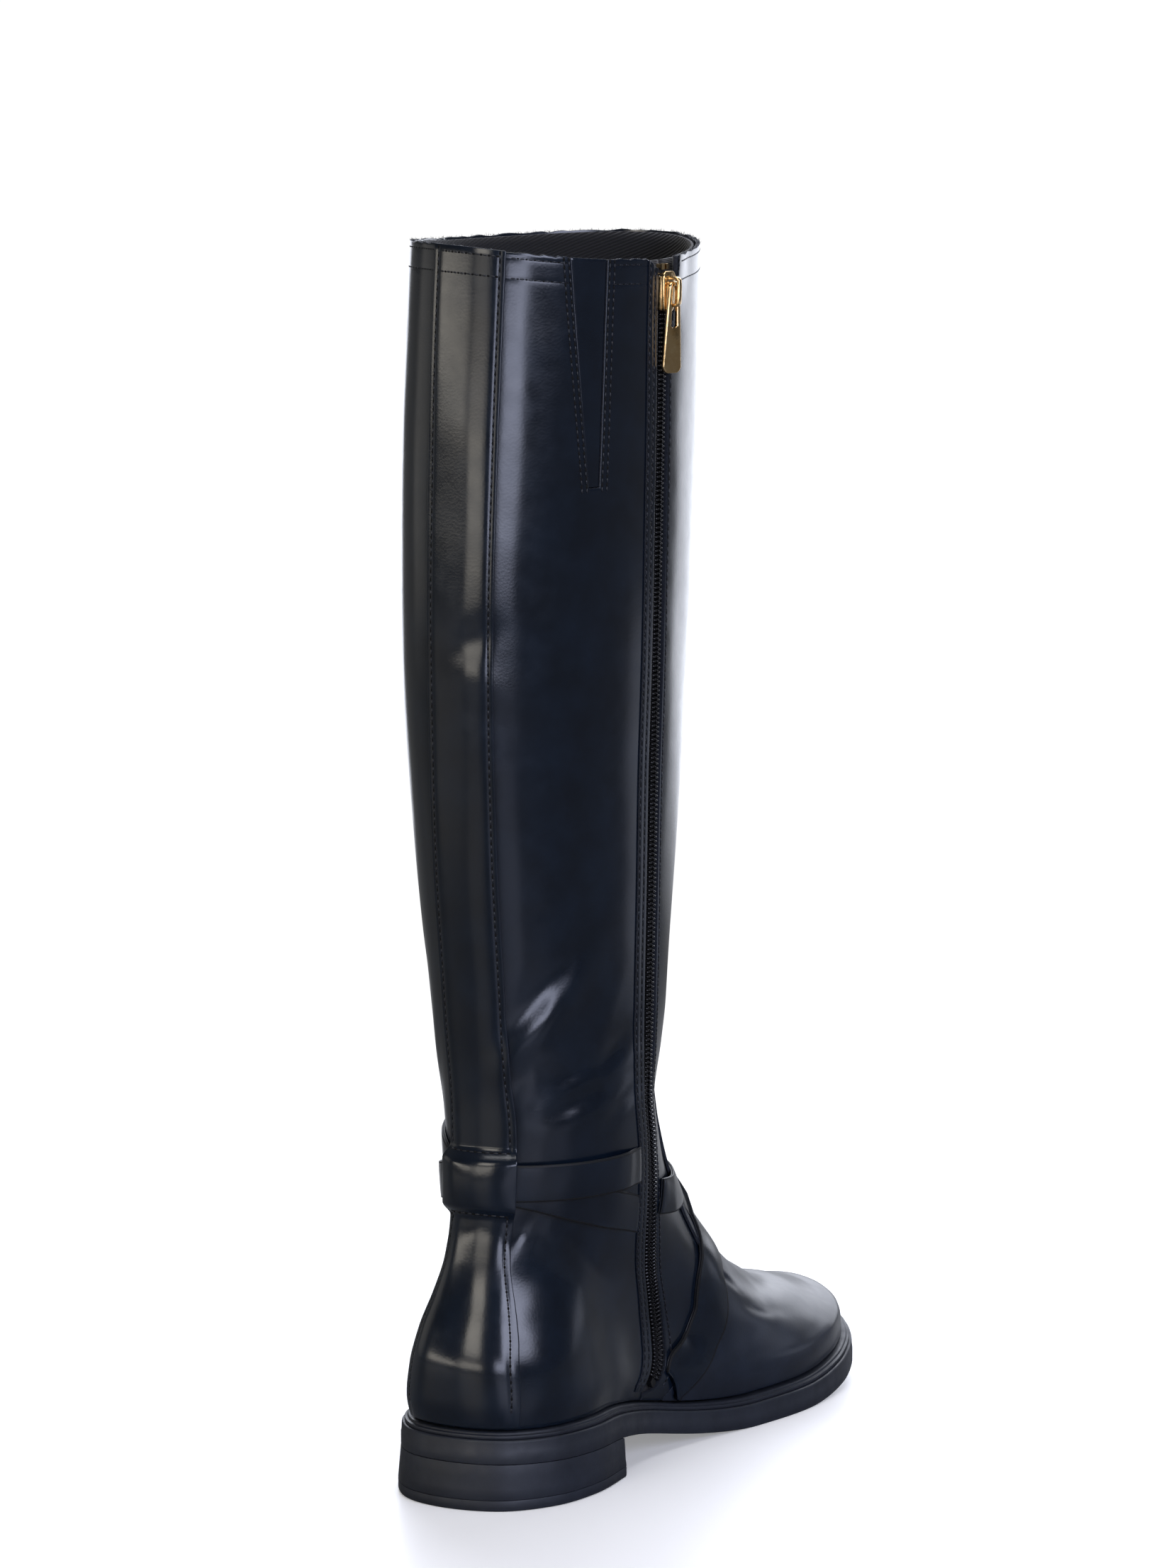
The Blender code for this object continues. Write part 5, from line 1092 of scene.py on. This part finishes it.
# ---- stage: white paper near the boot on a darker studio floor, white for the camera all over; for glossy rays the paper is darkened, a painted darker reflection of the floor in the leather
target = Vector((0.0, 0.0696, 0.2385))
stageLook = {"paper": "#f2f2f6", "beyond": "#1c1d20", "glowNear": 0.26, "glowFar": 1.0, "farShine": 0.09, "nearShine": 0.14, "reflectionDarkening": 0.95, "room": 0.07}
floorMat, tree, shader = startMaterial("white_paper_sweep", Roughness=0.35, IOR=1.35)
spot = addNode(tree, "ShaderNodeTexCoord").outputs["Object"]
off = addNode(tree, "ShaderNodeVectorMath", {"operation": "SUBTRACT", 1: (0.0, 0.09, 0.0)}, {0: spot})
reach = addNode(tree, "ShaderNodeVectorMath", {"operation": "LENGTH"}, {0: off.outputs["Vector"]}).outputs["Value"]
near = addNode(tree, "ShaderNodeMapRange", {"interpolation_type": "SMOOTHSTEP", "From Min": 0.46, "From Max": 0.17}, {"Value": reach})
path = addNode(tree, "ShaderNodeLightPath")
# painted reflection: glossy rays see the paper darkened towards the floor colour beyond, so the leather mirrors a
# darker floor than the camera sees
dim = addNode(tree, "ShaderNodeMapRange", {"To Min": 1.0, "To Max": 1.0 - stageLook["reflectionDarkening"]}, {"Value": path.outputs["Is Glossy Ray"]})
pale = addNode(tree, "ShaderNodeMath", {"operation": "MULTIPLY"}, {0: near.outputs["Result"], 1: dim.outputs["Result"]})
paper = addNode(tree, "ShaderNodeMix", {"data_type": "RGBA"}, {0: pale.outputs[0]})
paper.inputs[6].default_value, paper.inputs[7].default_value = hexColour(stageLook["beyond"]), hexColour(stageLook["paper"])
tree.links.new(paper.outputs[2], shader.inputs["Base Color"])
shine = addNode(tree, "ShaderNodeMapRange", {"To Min": stageLook["farShine"], "To Max": stageLook["nearShine"]}, {"Value": near.outputs["Result"]})
close = addNode(tree, "ShaderNodeMath", {"operation": "MULTIPLY"}, {0: path.outputs["Is Glossy Ray"], 1: shine.outputs["Result"]})
seen = addNode(tree, "ShaderNodeMath", {"operation": "MAXIMUM"}, {0: path.outputs["Is Camera Ray"], 1: path.outputs["Is Transmission Ray"]})
seen = addNode(tree, "ShaderNodeMath", {"operation": "MAXIMUM"}, {0: seen.outputs[0], 1: close.outputs[0]})
glow = addNode(tree, "ShaderNodeMapRange", {"From Min": 0.0, "From Max": 1.0, "To Min": stageLook["glowFar"], "To Max": stageLook["glowNear"]},
               {"Value": near.outputs["Result"]})
lit = addNode(tree, "ShaderNodeMath", {"operation": "MULTIPLY"}, {0: seen.outputs[0], 1: glow.outputs["Result"]})
shader.inputs["Emission Color"].default_value = (1, 1, 1, 1)
tree.links.new(lit.outputs[0], shader.inputs["Emission Strength"])
bm = bmesh.new()
bmesh.ops.create_grid(bm, x_segments=8, y_segments=8, size=40)
mesh = bpy.data.meshes.new("floor")
bm.to_mesh(mesh)
bm.free()
mesh.materials.append(floorMat)
floor = bpy.data.objects.new("floor", mesh)
bpy.context.scene.collection.objects.link(floor)

world = bpy.context.scene.world or bpy.data.worlds.new("studio")
bpy.context.scene.world = world
world.use_nodes = True
tree = world.node_tree
ground = tree.nodes["Background"]
path = addNode(tree, "ShaderNodeLightPath")
seen = addNode(tree, "ShaderNodeMath", {"operation": "MAXIMUM"}, {0: path.outputs["Is Camera Ray"], 1: path.outputs["Is Transmission Ray"]})
level = addNode(tree, "ShaderNodeMapRange", {"To Min": stageLook["room"], "To Max": 1.0}, {"Value": seen.outputs[0]})
tree.links.new(level.outputs["Result"], ground.inputs["Strength"])
ground.inputs["Color"].default_value = (1, 1, 1, 1)


def softBox(name, azimuth, low, high, dist, wide, colour, radiance, fade=(0.5, 0.5)):
    width = 2 * dist * math.tan(math.radians(wide / 2))
    lamp = bpy.data.lights.new(name, "AREA")
    lamp.shape = "RECTANGLE"
    lamp.size, lamp.size_y = width, high - low
    lamp.color = hexColour(colour)[:3]
    lamp.energy = radiance * math.pi * width * (high - low)
    lamp.use_nodes = True
    tree = lamp.node_tree
    spot = addNode(tree, "ShaderNodeSeparateXYZ", links={0: addNode(tree, "ShaderNodeNewGeometry").outputs["Parametric"]})
    share = []
    for k in (0, 1):  # the cloth of a soft box dims towards its edges
        half = addNode(tree, "ShaderNodeMath", {"operation": "SUBTRACT", 1: 0.5}, {0: spot.outputs[k]})
        half = addNode(tree, "ShaderNodeMath", {"operation": "ABSOLUTE"}, {0: half.outputs[0]})
        share.append(addNode(tree, "ShaderNodeMapRange", {"interpolation_type": "SMOOTHSTEP", "From Min": 0.5, "From Max": 0.5 * (1 - fade[k])},
                             {"Value": half.outputs[0]}).outputs["Result"])
    both = addNode(tree, "ShaderNodeMath", {"operation": "MULTIPLY"}, {0: share[0], 1: share[1]})
    tree.links.new(both.outputs[0], tree.nodes["Emission"].inputs["Strength"])
    box = bpy.data.objects.new(name, lamp)
    a = math.radians(azimuth)
    box.location = Vector((math.sin(a) * dist, -math.cos(a) * dist, (low + high) / 2))
    box.rotation_euler = (math.pi / 2, 0, a)
    box.visible_camera = False
    bpy.context.scene.collection.objects.link(box)
    return box


softBox("left_box", -44, 0.28, 0.86, 3.8, 56, "#f6efe2", 4.0, (0.5, 0.8))
softBox("left_low_box", -4, 0.06, 0.62, 1.9, 40, "#f6efe2", 3.4, (0.6, 0.9))
softBox("left_heel_box", -3, 0.56, 1.9, 1.9, 28, "#f6efe2", 4.2, (0.5, 0.5))
softBox("far_left_box", -92, 0.0, 0.8, 1.9, 30, "#f3efe8", 0.35)
softBox("lavender_box", 45, 0.08, 0.74, 1.9, 35, "#d8def9", 6.0, (0.6, 0.8))
softBox("lavender_heel_box", 68, 0.46, 1.8, 1.9, 46, "#d8def9", 6.6, (0.5, 0.5))
softBox("back_box", 196, 0.0, 1.5, 1.0, 64.4, "#f0f4ff", 2.0, (0.2, 0.2))
softBox("toe_box", 205, 0.7, 2.0, 1.6, 53.1, "#f0f4ff", 3.6, (0.2, 0.2))
toeSide = softBox("toe_side_box", 140, 0.0, 0.24, 0.6, 30, "#dfe6fb", 0.6)
toeSide.location += Vector((0.045, 0.17, 0.0))
top = softBox("top_box", 60, 0.0, 1.5, 0.2, 150, "#ffffff", 3.0, (0.2, 0.2))
top.location, top.rotation_euler = (0.1, 0.0, 2.3), (0, 0, 0)

camera = bpy.data.objects.new("camera", bpy.data.cameras.new("camera"))
camera.data.lens = 148.87
camera.data.sensor_width = 36.0
camera.data.sensor_fit = "AUTO"
camera.data.clip_end = 200.0
camera.location = (1.0430, -1.9371, 0.576)
camera.rotation_euler = (target - camera.location).to_track_quat("-Z", "Y").to_euler()
bpy.context.scene.collection.objects.link(camera)
bpy.context.scene.camera = camera
bpy.context.scene.view_settings.view_transform = "Standard"
print("stage set")

bpy.context.view_layer.update()
